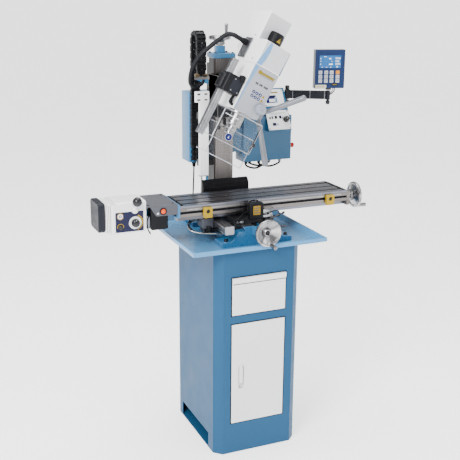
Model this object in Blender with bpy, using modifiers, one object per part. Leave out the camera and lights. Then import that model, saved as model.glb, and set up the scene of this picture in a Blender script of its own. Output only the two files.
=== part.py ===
"""Benchtop milling machine on its floor cabinet.

Frame: origin at the centre of the cabinet's footprint on the floor, +X to the
operator's right, +Y towards the back, +Z up.  Metres.
The head is tilted about the Y axis, so its pieces are children of an empty on
the tilt pivot and are drawn in the head's own axes (x across, y back, z up
along the spindle).
"""
import bpy
import bmesh
import math
from mathutils import Vector, Matrix

# ---------------------------------------------------------------- dimensions
GAP = 0.0003                     # running gap kept between touching pieces

# floor cabinet
CAB_X, CAB_Y, CAB_H = 0.195, 0.240, 0.9190
CAB_CHAMFER, CAB_SHEET = 0.033, 0.004
OPEN_X0, OPEN_X1 = -0.125, 0.124
DRAWER_Z0, DRAWER_Z1 = 0.643, 0.811
DOOR_Z0, DOOR_Z1 = 0.144, 0.604
CUT_Y0, CUT_Y1, CUT_Z = -0.153, 0.169, 0.070
DOOR_AXIS = (0.1160, -0.2380)

# chip tray
TRAY_X, TRAY_Y0, TRAY_Y1 = 0.304, -0.265, 0.345
TRAY_RIM, TRAY_FLOOR = 0.9460, 0.9235

# machine
XM = 0.020                       # centre plane of the machine
BASE_Y0, BASE_Y1 = -0.177, 0.295
BASE_FOOT = 0.160
WAY_Z0, WAY_Z1 = 0.9850, 1.0060  # Y dovetail
Y_SCREW_Z = 0.9985
SAD_Z0, SAD_Z1 = 1.0065, 1.0295
TAB_X0, TAB_X1 = -0.298, 0.490
TAB_Y0, TAB_Y1 = -0.100, 0.095
TAB_TOP, TAB_UNDER, TAB_BLOCK = 1.0995, 1.0520, 1.0300
X_SCREW_Z = 1.0475
COL_FRONT, COL_BACK, COL_TOP = 0.190, 0.271, 1.665
COL_HALF = 0.042
Z_SCREW = (XM, 0.2480)

# head
PIVOT = (XM, 0.0, 1.5200)
TILT = math.radians(28.5)
SPINDLE_Y = -0.040
HUB = (0.062, -0.030, -0.0375)   # capstan on the head's right side
HUB_PHASE, HUB_SPLAY, HUB_REACH = math.radians(38.4), math.radians(28.5), 0.218

# ------------------------------------------------------------------ clearing
for o in list(bpy.data.objects):
    bpy.data.objects.remove(o, do_unlink=True)
for c in list(bpy.data.collections):
    bpy.data.collections.remove(c)
PARTS = bpy.data.collections.new("milling_machine")
CUTS = bpy.data.collections.new("cutters")
bpy.context.scene.collection.children.link(PARTS)
bpy.context.scene.collection.children.link(CUTS)

MATS = {}


def material(name, colour, rough, metal=0.0, alpha=1.0):
    m = bpy.data.materials.new(name)
    m.use_nodes = True
    b = m.node_tree.nodes["Principled BSDF"]
    b.inputs["Base Color"].default_value = (*colour, 1.0)
    b.inputs["Roughness"].default_value = rough
    b.inputs["Metallic"].default_value = metal
    b.inputs["Alpha"].default_value = alpha
    m.diffuse_color = (*colour, alpha)
    MATS[name] = m
    return m


material("blue_paint", (0.10, 0.30, 0.46), 0.40)
material("light_blue_paint", (0.28, 0.50, 0.66), 0.40)
material("white_paint", (0.78, 0.79, 0.81), 0.40)
material("grey_paint", (0.25, 0.26, 0.28), 0.45)
material("ground_iron", (0.38, 0.37, 0.36), 0.30, 1.0)
material("dark_iron", (0.05, 0.05, 0.055), 0.45, 0.6)
material("steel", (0.62, 0.61, 0.60), 0.25, 1.0)
material("aluminium", (0.72, 0.72, 0.73), 0.30, 1.0)
material("handle_grey", (0.42, 0.43, 0.45), 0.40)
material("black_plastic", (0.02, 0.02, 0.023), 0.45)
material("rubber", (0.015, 0.015, 0.015), 0.75)
material("yellow", (0.85, 0.66, 0.02), 0.40)
material("orange", (0.85, 0.22, 0.06), 0.40)
material("red", (0.60, 0.02, 0.02), 0.40)
material("display_blue", (0.02, 0.09, 0.27), 0.40)
material("clear_plastic", (0.75, 0.80, 0.85), 0.08, 0.0, 0.35)
material("armour", (0.50, 0.49, 0.46), 0.35, 1.0)


# ------------------------------------------------------------------- helpers
def finish(me, name, mat, parent=None, origin=(0, 0, 0), cutter=False, smooth=True):
    """Make an object of a mesh drawn in its parent's axes, with its own origin."""
    me.transform(Matrix.Translation(-Vector(origin)))
    me.name = name
    if smooth:
        me.shade_smooth()
        me.set_sharp_from_angle(angle=math.radians(35))
    o = bpy.data.objects.new(name, me)
    o.location = origin
    if parent is not None:
        o.parent = parent
    if cutter:
        CUTS.objects.link(o)
        o.hide_render = True
        o.display_type = "WIRE"
    else:
        PARTS.objects.link(o)
    if mat:
        me.materials.clear()
        me.materials.append(MATS[mat])
    return o


def face_outwards(bm):
    bmesh.ops.recalc_face_normals(bm, faces=bm.faces)
    if bm.calc_volume(signed=True) < 0:
        bmesh.ops.reverse_faces(bm, faces=bm.faces[:])


def box_mesh(lo, hi, bevel=0.0, segments=1):
    bm = bmesh.new()
    bmesh.ops.create_cube(bm, size=1.0)
    lo, hi = Vector(lo), Vector(hi)
    size = hi - lo
    for v in bm.verts:
        v.co = Vector((v.co.x * size.x, v.co.y * size.y, v.co.z * size.z)) + (lo + hi) / 2
    if bevel:
        bmesh.ops.bevel(bm, geom=bm.edges[:], offset=bevel, segments=segments,
                        profile=0.5, affect="EDGES")
    me = bpy.data.meshes.new("box")
    bm.to_mesh(me)
    bm.free()
    return me


def cyl_mesh(p0, p1, r0, r1=None, segs=24):
    p0, p1 = Vector(p0), Vector(p1)
    bm = bmesh.new()
    bmesh.ops.create_cone(bm, cap_ends=True, segments=segs, radius1=r0,
                          radius2=r0 if r1 is None else r1, depth=(p1 - p0).length)
    rot = (p1 - p0).to_track_quat("Z", "Y").to_matrix().to_4x4()
    bmesh.ops.transform(bm, verts=bm.verts, matrix=Matrix.Translation((p0 + p1) / 2) @ rot)
    me = bpy.data.meshes.new("cyl")
    bm.to_mesh(me)
    bm.free()
    return me


def outline_mesh(pts, a, b, plane="XZ", holes=()):
    """A flat outline, given in the named plane, extruded from a to b along the third axis."""
    cu = bpy.data.curves.new("outline", "CURVE")
    cu.dimensions = "2D"
    cu.fill_mode = "BOTH"
    cu.extrude = abs(b - a) / 2
    for ring in (pts,) + tuple(holes):
        sp = cu.splines.new("POLY")
        sp.points.add(len(ring) - 1)
        for p, q in zip(sp.points, ring):
            p.co = (q[0], q[1], 0, 1)
        sp.use_cyclic_u = True
    ob = bpy.data.objects.new("outline", cu)
    bpy.context.scene.collection.objects.link(ob)
    dg = bpy.context.evaluated_depsgraph_get()
    me = bpy.data.meshes.new_from_object(ob.evaluated_get(dg))
    bpy.data.objects.remove(ob, do_unlink=True)
    bm = bmesh.new()
    bm.from_mesh(me)
    bmesh.ops.remove_doubles(bm, verts=bm.verts, dist=1e-6)
    mid = (a + b) / 2
    for v in bm.verts:
        x, y, z = v.co
        if plane == "XZ":
            v.co = (x, z + mid, y)
        elif plane == "YZ":
            v.co = (z + mid, x, y)
        else:
            v.co = (x, y, z + mid)
    face_outwards(bm)
    bm.to_mesh(me)
    bm.free()
    return me


def turned_mesh(profile, centre, axis, steps=24):
    """A closed solid of revolution; profile is (radius, height) from the top down the outside."""
    me = bpy.data.meshes.new("profile")
    me.from_pydata([(r, 0, h) for r, h in profile], [(i, i + 1) for i in range(len(profile) - 1)], [])
    ob = bpy.data.objects.new("profile", me)
    bpy.context.scene.collection.objects.link(ob)
    m = ob.modifiers.new("turn", "SCREW")
    m.steps = m.render_steps = steps
    m.use_merge_vertices = True
    m.merge_threshold = 1e-5
    m.use_smooth_shade = True
    dg = bpy.context.evaluated_depsgraph_get()
    out = bpy.data.meshes.new_from_object(ob.evaluated_get(dg))
    bpy.data.objects.remove(ob, do_unlink=True)
    bm = bmesh.new()
    bm.from_mesh(out)
    bmesh.ops.remove_doubles(bm, verts=bm.verts, dist=1e-6)
    rot = Vector(axis).to_track_quat("Z", "Y").to_matrix().to_4x4()
    bmesh.ops.transform(bm, verts=bm.verts, matrix=Matrix.Translation(centre) @ rot)
    face_outwards(bm)
    bm.to_mesh(out)
    bm.free()
    return out


def boolean(ob, other_mesh, op="DIFFERENCE"):
    n = len(CUTS.objects)
    c = finish(other_mesh, "cutter_%03d" % n, None, parent=ob.parent, cutter=True, smooth=False)
    m = ob.modifiers.new("%s_%d" % (op.lower(), n), "BOOLEAN")
    m.operation = op
    m.solver = "EXACT"
    m.object = c
    return ob


def spline(points, count):
    """Points evenly spaced by parameter on a Catmull-Rom curve through the route."""
    P = [Vector(p) for p in points]
    P = [P[0] * 2 - P[1]] + P + [P[-1] * 2 - P[-2]]
    out = []
    spans = len(P) - 3
    for i in range(count):
        t = i / (count - 1) * spans
        k = min(int(t), spans - 1)
        u = t - k
        a, b, c, d = P[k:k + 4]
        out.append(0.5 * ((2 * b) + (c - a) * u + (2 * a - 5 * b + 4 * c - d) * u * u
                          + (3 * b - a - 3 * c + d) * u ** 3))
    return out


def tube(name, points, r, mat, count, parent=None, res=2):
    cu = bpy.data.curves.new(name, "CURVE")
    cu.dimensions = "3D"
    cu.bevel_depth = r
    cu.bevel_resolution = res
    cu.use_fill_caps = True
    cu.resolution_u = 1
    cu.render_resolution_u = 0
    pts = spline(points, count)
    sp = cu.splines.new("POLY")
    sp.points.add(len(pts) - 1)
    for p, q in zip(sp.points, pts):
        p.co = (*q, 1)
    cu.materials.append(MATS[mat])
    o = bpy.data.objects.new(name, cu)
    if parent is not None:
        o.parent = parent
    PARTS.objects.link(o)
    return o


def rect(x0, y0, x1, y1):
    return [(x0, y0), (x1, y0), (x1, y1), (x0, y1)]


def octagon(x, y, c):
    return [(-x + c, -y), (x - c, -y), (x, -y + c), (x, y - c), (x - c, y), (-x + c, y),
            (-x, y - c), (-x, -y + c)]


# ------------------------------------------------------------- floor cabinet
shell = finish(outline_mesh(octagon(CAB_X, CAB_Y, CAB_CHAMFER), 0.0, CAB_H, "XY"),
               "cabinet_shell", "blue_paint", smooth=False)
t = CAB_SHEET
boolean(shell, outline_mesh(octagon(CAB_X - t, CAB_Y - t, CAB_CHAMFER - 0.4 * t), t, CAB_H - t, "XY"))
boolean(shell, box_mesh((OPEN_X0, -CAB_Y - 0.01, DRAWER_Z0), (OPEN_X1, -CAB_Y + 0.01, DRAWER_Z1)))
boolean(shell, box_mesh((OPEN_X0, -CAB_Y - 0.01, DOOR_Z0), (OPEN_X1, -CAB_Y + 0.01, DOOR_Z1)))
boolean(shell, box_mesh((-CAB_X - 0.01, CUT_Y0, t + 0.001), (CAB_X + 0.01, CUT_Y1, CUT_Z)))

# drawer: folded front with a finger lip along its top edge, and an open box
f = -CAB_Y
drawer = finish(outline_mesh([(f - 0.003, 0.6445), (f - 0.003, 0.7850), (f - 0.0040, 0.7865),
                              (f - 0.0130, 0.7895), (f - 0.0150, 0.7925), (f - 0.0150, 0.8065),
                              (f - 0.0120, 0.8095), (f + 0.0090, 0.8095), (f + 0.0090, 0.6445)],
                             OPEN_X0 + 0.0015, OPEN_X1 - 0.0015, "YZ"), "drawer", "white_paint")
boolean(drawer, box_mesh((-0.1130, f + 0.0085, 0.6600), (0.1120, 0.1700, 0.7850)), "UNION")
boolean(drawer, box_mesh((-0.1100, f + 0.0100, 0.6630), (0.1090, 0.1670, 0.8200)))

# door: folded pan, hinged on its right edge
dx0, dx1 = OPEN_X0 + 0.0015, 0.1220
door = finish(box_mesh((dx0, f - 0.003, DOOR_Z0 + 0.0015), (dx1, f + 0.011, DOOR_Z1 - 0.0015)),
              "door_panel", "white_paint", origin=(DOOR_AXIS[0], DOOR_AXIS[1], 0.374), smooth=False)
boolean(door, box_mesh((dx0 + 0.003, f, DOOR_Z0 + 0.0045), (dx1 - 0.003, f + 0.02, DOOR_Z1 - 0.0045)))
boolean(door, box_mesh((-0.1010, f - 0.01, 0.3000), (-0.0690, f + 0.02, 0.4180)))
handle = finish(box_mesh((-0.1005, f - 0.0055, 0.3005), (-0.0695, f + 0.0080, 0.4175), 0.002),
                "door_handle", "white_paint", origin=(DOOR_AXIS[0], DOOR_AXIS[1], 0.374))
boolean(handle, box_mesh((-0.0960, f - 0.0100, 0.3060), (-0.0740, f + 0.0050, 0.4120), 0.003))

# ----------------------------------------------------------------- chip tray
def ringed_mesh(rings):
    """A closed body skinned over rectangular rings (inset from the tray's rim, height)."""
    bm = bmesh.new()
    rows = []
    for d, z in rings:
        rows.append([bm.verts.new(v) for v in ((-TRAY_X + d, TRAY_Y0 + d, z), (TRAY_X - d, TRAY_Y0 + d, z),
                                               (TRAY_X - d, TRAY_Y1 - d, z), (-TRAY_X + d, TRAY_Y1 - d, z))])
    for a, b in zip(rows, rows[1:]):
        for i in range(4):
            j = (i + 1) % 4
            bm.faces.new((a[i], a[j], b[j], b[i]))
    bm.faces.new(rows[0])
    bm.faces.new(rows[-1])
    face_outwards(bm)
    me = bpy.data.meshes.new("rings")
    bm.to_mesh(me)
    bm.free()
    return me


tray = finish(ringed_mesh([(0.0260, TRAY_FLOOR), (0.0080, TRAY_RIM), (0.0, TRAY_RIM), (0.0, TRAY_RIM - 0.0170),
                           (0.0025, TRAY_RIM - 0.0170), (0.0025, TRAY_RIM - 0.0030), (0.0070, TRAY_RIM - 0.0030),
                           (0.0255, CAB_H + GAP)]), "chip_tray", "light_blue_paint", smooth=False)

# ------------------------------------------------------- base casting, column
zf = TRAY_FLOOR + GAP
half = [(BASE_FOOT, zf), (BASE_FOOT, zf + 0.0200), (0.1170, zf + 0.0215), (0.0850, WAY_Z0),
        (0.0580, WAY_Z0), (0.0680, WAY_Z1), (0.0150, WAY_Z1), (0.0150, Y_SCREW_Z - 0.0100)]
section = [(XM + x, z) for x, z in half] + [(XM - x, z) for x, z in reversed(half)]
base = finish(outline_mesh(section, BASE_Y0, BASE_Y1, "XZ"), "base_casting", "blue_paint", smooth=False)
# the ways stop in front of the column, whose foot stands on a flat pad
boolean(base, box_mesh((XM - 0.2, COL_FRONT - 0.012, WAY_Z0), (XM + 0.2, BASE_Y1 + 0.01, WAY_Z1 + 0.02)))
boolean(base, box_mesh((XM - 0.175, -0.090, zf - 0.01), (XM - 0.122, 0.170, zf + 0.05)))
boolean(base, box_mesh((XM + 0.122, -0.090, zf - 0.01), (XM + 0.175, 0.170, zf + 0.05)))

housing = finish(outline_mesh([(XM - 0.0280, 0.9700), (XM + 0.0280, 0.9700), (XM + 0.0280, 1.0000),
                               (XM + 0.0220, 1.0056), (XM - 0.0220, 1.0056), (XM - 0.0280, 1.0000)],
                              -0.2140, BASE_Y0 - GAP, "XZ"), "y_bearing_housing", "blue_paint", smooth=False)
boolean(housing, cyl_mesh((XM, -0.23, Y_SCREW_Z), (XM, -0.17, Y_SCREW_Z), 0.0054, segs=20))

zb = WAY_Z0 + GAP
h = [(-COL_HALF, COL_FRONT), (COL_HALF, COL_FRONT), (0.0350, 0.2060), (0.0350, 0.2100),
     (COL_HALF, 0.2100), (COL_HALF, COL_BACK), (0.0270, COL_BACK), (0.0270, 0.2240),
     (-0.0270, 0.2240), (-0.0270, COL_BACK), (-COL_HALF, COL_BACK), (-COL_HALF, 0.2102),
     (-0.0350, 0.2102), (-0.0350, 0.2060)]
column = finish(outline_mesh([(XM + x, y) for x, y in h], zb + 0.0120, COL_TOP, "XY"), "column", "ground_iron", smooth=False)
boolean(column, box_mesh((XM - 0.075, COL_FRONT - 0.008, zb), (XM + 0.075, BASE_Y1 - 0.006, zb + 0.030)), "UNION")
boolean(column, box_mesh((XM - 0.0080, 0.1700, 1.3650), (XM + 0.0080, 0.2300, 1.6000)))

top = finish(box_mesh((XM - 0.0500, 0.1860, COL_TOP + GAP), (XM + 0.0500, 0.2760, 1.6860), 0.001),
             "column_top_plate", "light_blue_paint")
boolean(top, box_mesh((XM - 0.0210, 0.2300, 1.6850), (XM + 0.0210, 0.2660, 1.7160)), "UNION")
boolean(top, cyl_mesh((*Z_SCREW, 1.6), (*Z_SCREW, 1.8), 0.0065, segs=20))

# Z scale cover on the column's left
zcov = finish(outline_mesh([(-0.1000, 1.1490), (-0.0570, 1.1490), (-0.0570, 1.5270), (-0.1000, 1.5270)],
                           0.1830, 0.2020, "XZ"), "z_scale_cover", "white_paint", smooth=False)
for z0 in (1.190, 1.400):
    boolean(zcov, box_mesh((-0.0950, 0.2000, z0), (-0.0600, 0.2350, z0 + 0.030)), "UNION")
    boolean(zcov, box_mesh((-0.0620, 0.2105, z0 + 0.002), (XM - COL_HALF - GAP, 0.2330, z0 + 0.028)), "UNION")
boolean(zcov, box_mesh((-0.1180, 0.1860, 1.4820), (-0.0980, 0.2000, 1.5260)), "UNION")

# black rubber way cover hanging in front of the column's foot
arc = [(COL_FRONT - 0.0010 - 0.0270 * math.sin(a), 1.1000 + 0.0320 * math.cos(a))
       for a in [math.radians(d) for d in range(0, 91, 15)]]
arc += [(arc[-1][0], 1.0580)]
inner_arc = [(y + 0.0035 * math.sin(math.radians(min(90, 15 * i))),
              z - 0.0035 * math.cos(math.radians(min(90, 15 * i)))) for i, (y, z) in enumerate(arc)]
way_cover = finish(outline_mesh(arc + inner_arc[::-1], XM - 0.112, XM + 0.110, "YZ"), "way_cover", "rubber")

# -------------------------------------------------------------- saddle and Y
d0, d1 = 0.0335, 0.0440
sad = [(XM - 0.0920, 0.9858), (XM - 0.0585, 0.9858), (XM - 0.0685, SAD_Z0), (XM + 0.0685, SAD_Z0),
       (XM + 0.0585, 0.9858), (XM + 0.0920, 0.9858), (XM + 0.0920, SAD_Z1), (XM - 0.0920, SAD_Z1)]
saddle = finish(outline_mesh(sad, -0.1340, 0.1140, "XZ"), "saddle", "dark_iron", smooth=False)
guide = [(-d0, SAD_Z1 - 0.004), (d0, SAD_Z1 - 0.004), (d0, SAD_Z1 + 0.0010), (d1, 1.0565), (0.0110, 1.0565), (0.0110, 1.0370),
         (-0.0110, 1.0370), (-0.0110, 1.0565), (-d1, 1.0565), (-d0, SAD_Z1 + 0.0010)]
boolean(saddle, outline_mesh(guide, XM - 0.0915, XM + 0.0915, "YZ"), "UNION")
# the two feed nuts
boolean(saddle, box_mesh((XM - 0.0130, -0.0200, 0.9890), (XM + 0.0130, 0.0200, SAD_Z0 + 0.0040)), "UNION")
boolean(saddle, box_mesh((XM - 0.0200, -0.0114, 1.0360), (XM + 0.0200, 0.0114, 1.0560)), "UNION")
boolean(saddle, cyl_mesh((XM, -0.0300, Y_SCREW_Z), (XM, 0.0300, Y_SCREW_Z), 0.0075, segs=20))
boolean(saddle, cyl_mesh((XM - 0.0300, 0, X_SCREW_Z), (XM + 0.0300, 0, X_SCREW_Z), 0.0068, segs=20))

limit = finish(outline_mesh([(-0.1343, 1.0250), (-0.1343, 1.0330), (-0.1170, 1.0480), (-0.1170, 1.0900),
                             (-0.1230, 1.0960), (-0.1480, 1.0960), (-0.1540, 1.0900), (-0.1540, 1.0300),
                             (-0.1490, 1.0250)], -0.0060, 0.0560, "YZ"), "limit_block", "black_plastic", smooth=False)

# the scale bar rides on the saddle; its reading head stands on the base
yscale = finish(box_mesh((-0.1390, -0.2000, 0.9850), (-0.0980, 0.1300, 1.0205), 0.0015), "y_scale_bar", "aluminium")
for y0 in (-0.1100, 0.0600):
    boolean(yscale, box_mesh((-0.0990, y0, 0.9950), (XM - 0.0920 - GAP, y0 + 0.0300, 1.0120)), "UNION")
yhead = finish(box_mesh((-0.1860, -0.0750, 0.9850), (-0.1405, -0.0100, 1.0280), 0.003), "y_reading_head", "grey_paint")


def shoulder(z):
    """X of the base's left shoulder at height z."""
    return XM - 0.1170 + (z - 0.9450) * (0.0320 / 0.0400)


boolean(yhead, outline_mesh([(-0.1800, 0.9900), (-0.1800, 0.9640), (shoulder(0.9640) - 0.0005, 0.9640), (shoulder(0.9790) - 0.0005, 0.9790),
                             (-0.1420, 0.9790), (-0.1420, 0.9900)], -0.0700, -0.0200, "XZ"), "UNION")
tube("armoured_cable", [(-0.1864, -0.0180, 1.0120), (-0.2000, -0.0180, 1.0120), (-0.2280, -0.0280, 1.0060), (-0.2460, -0.0520, 0.9950), (-0.2400, -0.0820, 0.9840),
                        (-0.2100, -0.1020, 0.9760), (-0.1700, -0.1100, 0.9720), (-0.1300, -0.1120, 0.9680), (shoulder(0.9590) - 0.0020, -0.1120, 0.9640)],
     0.0040, "armour", 34)

screw_r = 0.0065
yscrew = finish(turned_mesh([(0.0, 0.0), (0.0050, 0.0), (0.0050, -0.0700), (0.0072, -0.0700), (0.0072, -0.4000), (0.0, -0.4000)],
                            (XM, -0.2450, Y_SCREW_Z), (0, -1, 0), 16),
                "y_leadscrew", "steel", origin=(XM, -0.2760, Y_SCREW_Z))


def handwheel(name, centre, axis, radius, grip_dir, back, reach=0.052):
    """Dished wheel with a hub, a graduated collar behind it and a revolving handle."""
    a = Vector(axis).normalized()
    R = radius
    prof = [(0.0, 0.0170), (0.0120, 0.0170), (0.0140, 0.0120), (R * 0.72, -0.0020), (R * 0.80, 0.0060),
            (R - 0.003, 0.0075), (R, 0.0030), (R, -0.0045), (R - 0.004, -0.0085), (R * 0.78, -0.0080),
            (0.0240, -0.0100), (0.0240, -back), (0.0, -back)]
    w = finish(turned_mesh(prof, centre, a, 28), name, "aluminium", origin=centre)
    g = Vector(grip_dir).normalized()
    p = Vector(centre) + g * (R - 0.009)
    boolean(w, cyl_mesh(p + a * 0.001, p + a * (0.006 + reach), 0.0075, 0.0092, segs=14), "UNION")
    return w


ywheel = handwheel("y_handwheel", (XM, -0.2760, Y_SCREW_Z), (0, -1, 0), 0.0580, (0.15, 0, -1), 0.0590)
boolean(ywheel, cyl_mesh((XM, -0.2455, Y_SCREW_Z), (XM, -0.2100, Y_SCREW_Z), 0.0053, segs=16))

# ------------------------------------------------------------ table and X
def tslot(y):
    z = TAB_TOP
    return [(y - 0.0060, z), (y - 0.0060, z - 0.0090), (y - 0.0100, z - 0.0090), (y - 0.0100, z - 0.0160),
            (y + 0.0100, z - 0.0160), (y + 0.0100, z - 0.0090), (y + 0.0060, z - 0.0090), (y + 0.0060, z)]


ch = 0.0004
prof = [(TAB_Y0, TAB_UNDER), (TAB_Y0, 1.0655), (TAB_Y0 + 0.0080, 1.0655), (TAB_Y0 + 0.0080, 1.0755), (TAB_Y0, 1.0755),
        (TAB_Y0, TAB_TOP - 0.0010), (TAB_Y0 + 0.0010, TAB_TOP)]
for yc in (-0.0625, -0.0025, 0.0575):
    prof += tslot(yc)
prof += [(TAB_Y1 - 0.0010, TAB_TOP), (TAB_Y1, TAB_TOP - 0.0010), (TAB_Y1, TAB_UNDER), (0.0700, TAB_UNDER),
         (0.0700, TAB_BLOCK), (d0 + ch, TAB_BLOCK), (d1 + 2 * ch, 1.0570), (-d1 - 2 * ch, 1.0570), (-d0 - ch, TAB_BLOCK),
         (-0.0700, TAB_BLOCK), (-0.0700, TAB_UNDER)]
table = finish(outline_mesh(prof, TAB_X0, TAB_X1, "YZ"), "table", "ground_iron", smooth=False)

lplate = finish(box_mesh((TAB_X0 - 0.0120, TAB_Y0, 1.0500), (TAB_X0 - GAP, TAB_Y1, TAB_TOP + 0.0060), 0.0015),
                "table_left_plate", "light_blue_paint")
boolean(lplate, box_mesh((-0.4440, -0.0600, 1.0310), (TAB_X0 - 0.0115, 0.0600, 1.0900)), "UNION")
boolean(lplate, box_mesh((-0.4200, -0.0700, 1.0350), (-0.3300, -0.0300, 1.0800)))
boolean(lplate, cyl_mesh((-0.5, 0, X_SCREW_Z), (-0.2, 0, X_SCREW_Z), 0.0115, segs=20))

rbr = finish(outline_mesh([(-0.0720, 1.0300), (0.0720, 1.0300), (0.0900, 1.0560), (0.0900, 1.0940),
                           (-0.0950, 1.0940), (-0.0950, 1.0560)], TAB_X1 + GAP, TAB_X1 + 0.0180, "YZ"),
             "table_right_bracket", "ground_iron", smooth=False)
boolean(rbr, cyl_mesh((TAB_X1, 0, X_SCREW_Z), (0.5380, 0, X_SCREW_Z), 0.0200, 0.0170, segs=24), "UNION")
boolean(rbr, cyl_mesh((0.4, 0, X_SCREW_Z), (0.6, 0, X_SCREW_Z), screw_r + 0.0004, segs=20))

xscrew = finish(cyl_mesh((-0.4300, 0, X_SCREW_Z), (0.5500, 0, X_SCREW_Z), screw_r, segs=16), "x_leadscrew", "steel",
                origin=(0.5900, 0, X_SCREW_Z))
xwheel = handwheel("x_handwheel", (0.5900, 0, X_SCREW_Z), (1, 0, 0), 0.0600, (0, -0.25, -1), 0.0510, 0.050)
boolean(xwheel, cyl_mesh((0.5200, 0, X_SCREW_Z), (0.5550, 0, X_SCREW_Z), screw_r + 0.0003, segs=16))

for nm, x0 in (("table_stop_left", -0.198), ("table_stop_right", 0.381)):
    st = finish(box_mesh((x0, TAB_Y0 - 0.0150, 1.0420), (x0 + 0.0380, TAB_Y0 - 0.0005, 1.0880), 0.002), nm, "yellow",
                origin=(x0 + 0.019, TAB_Y0, 1.0705))
    boolean(st, box_mesh((x0 + 0.0100, TAB_Y0 - 0.0010, 1.0660), (x0 + 0.0280, TAB_Y0 + 0.0070, 1.0750)), "UNION")

# power feed on the table's left end
fh = finish(box_mesh((-0.5900, -0.1000, 1.0080), (-0.4446, 0.0300, 1.1380), 0.006, 2), "feed_housing", "white_paint")
boolean(fh, box_mesh((-0.6130, -0.0880, 1.0200), (-0.5850, 0.0280, 1.1340), 0.004), "UNION")
boolean(fh, cyl_mesh((-0.4500, -0.0200, 1.0550), (-0.4442, -0.0200, 1.0550), 0.0300, segs=24), "UNION")
boolean(fh, cyl_mesh((-0.5000, 0, X_SCREW_Z), (-0.4, 0, X_SCREW_Z), 0.0100, segs=16))
ec = finish(box_mesh((-0.6420, -0.0980, 1.0200), (-0.6133, 0.0300, 1.1400), 0.006, 2), "feed_end_cap", "grey_paint")
cover = finish(box_mesh((-0.4442, -0.1040, 1.1090), (TAB_X0 - 0.0123, 0.0950, 1.1120)), "feed_cover_plate", "grey_paint", smooth=False)
boolean(cover, outline_mesh([(-0.4300, 1.1100), (TAB_X0 - 0.0130, 1.1100), (TAB_X0 - 0.0130, 1.0680), (-0.4020, 1.0680)], -0.1035, -0.1013, "XZ"), "UNION")
boolean(cover, cyl_mesh((-0.3730, -0.1200, 1.0880), (-0.3730, -0.0900, 1.0880), 0.0085, segs=16))
sw = finish(box_mesh((-0.4250, -0.1010, 1.0110), (-0.3520, -0.0620, 1.1040), 0.0035), "feed_switch_box", "black_plastic")
boolean(sw, cyl_mesh((-0.3730, -0.1200, 1.0880), (-0.3730, -0.0930, 1.0880), 0.0085, segs=16))
btn = finish(turned_mesh([(0.0, 0.0125), (0.0070, 0.0115), (0.0110, 0.0070), (0.0110, 0.0030), (0.0080, 0.0030),
                          (0.0080, -0.0040), (0.0, -0.0040)], (-0.3730, -0.1040, 1.0880), (0, -1, 0), 20),
             "feed_button", "orange", origin=(-0.3730, -0.1040, 1.0880))
knob = finish(turned_mesh([(0.0, 0.0220), (0.0130, 0.0215), (0.0150, 0.0190), (0.0175, 0.0040), (0.0175, 0.0010),
                           (0.0, 0.0010)], (-0.4920, -0.1005, 1.0520), (0, -1, 0), 24),
              "feed_speed_knob", "black_plastic", origin=(-0.4920, -0.1005, 1.0520))
lv0 = Vector((-0.4920, -0.1003, 1.1020))
lever = finish(cyl_mesh(lv0, lv0 + Vector((0, -0.0100, 0)), 0.0085, segs=16), "feed_lever", "black_plastic", origin=lv0)
boolean(lever, cyl_mesh(lv0 + Vector((0, -0.0060, 0.001)), lv0 + Vector((0.002, -0.0220, 0.0300)), 0.0035, segs=12), "UNION")
boolean(lever, turned_mesh([(0.0, 0.0220), (0.0130, 0.0200), (0.0200, 0.0110), (0.0205, 0.0030), (0.0140, -0.0120),
                            (0.0065, -0.0210), (0.0, -0.0215)], lv0 + Vector((0.002, -0.0290, 0.0420)),
                           (0, -0.45, 0.9), 18), "UNION")

# --------------------------------------------------------------- Z carriage
car = [(-0.0680, 0.1050), (0.0680, 0.1050), (0.0680, 0.2085), (0.0360, 0.2085), (0.0360, 0.2057), (COL_HALF + 0.0014, 0.1897),
       (-COL_HALF - 0.0014, 0.1897), (-0.0360, 0.2057), (-0.0360, 0.2085), (-0.0680, 0.2085)]
carriage = finish(outline_mesh([(XM + x, y) for x, y in car], 1.4200, 1.6000, "XY"), "z_carriage", "ground_iron", smooth=False)
boolean(carriage, box_mesh((XM - 0.0060, 0.1850, 1.5050), (XM + 0.0060, 0.2340, 1.5350)), "UNION")
boolean(carriage, cyl_mesh((*Z_SCREW, 1.5050), (*Z_SCREW, 1.5350), 0.0160, segs=20), "UNION")
boolean(carriage, cyl_mesh((*Z_SCREW, 1.4), (*Z_SCREW, 1.6), screw_r + 0.0003, segs=20))
boolean(carriage, cyl_mesh((XM, 0.0995, PIVOT[2]), (XM, 0.1060, PIVOT[2]), 0.0600, segs=32), "UNION")
# arm that carries the cable chain and the hose gland
boolean(carriage, box_mesh((-0.1080, 0.2120, 1.5750), (-0.0450, 0.2260, 1.5890)), "UNION")
boolean(carriage, box_mesh((-0.0520, 0.2000, 1.5750), (XM - 0.0600, 0.2260, 1.5890)), "UNION")

zscrew = finish(cyl_mesh((*Z_SCREW, zb + 0.0320), (*Z_SCREW, 1.7400), 0.0062, segs=16), "z_leadscrew", "steel",
                origin=(*Z_SCREW, 1.7500))
zwheel = handwheel("z_handwheel", (*Z_SCREW, 1.7500), (0, 0, 1), 0.0500, (0.36, -0.93, 0), 0.0330, 0.056)
boolean(zwheel, cyl_mesh((*Z_SCREW, 1.7000), (*Z_SCREW, 1.7405), 0.0066, segs=16))

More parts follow.
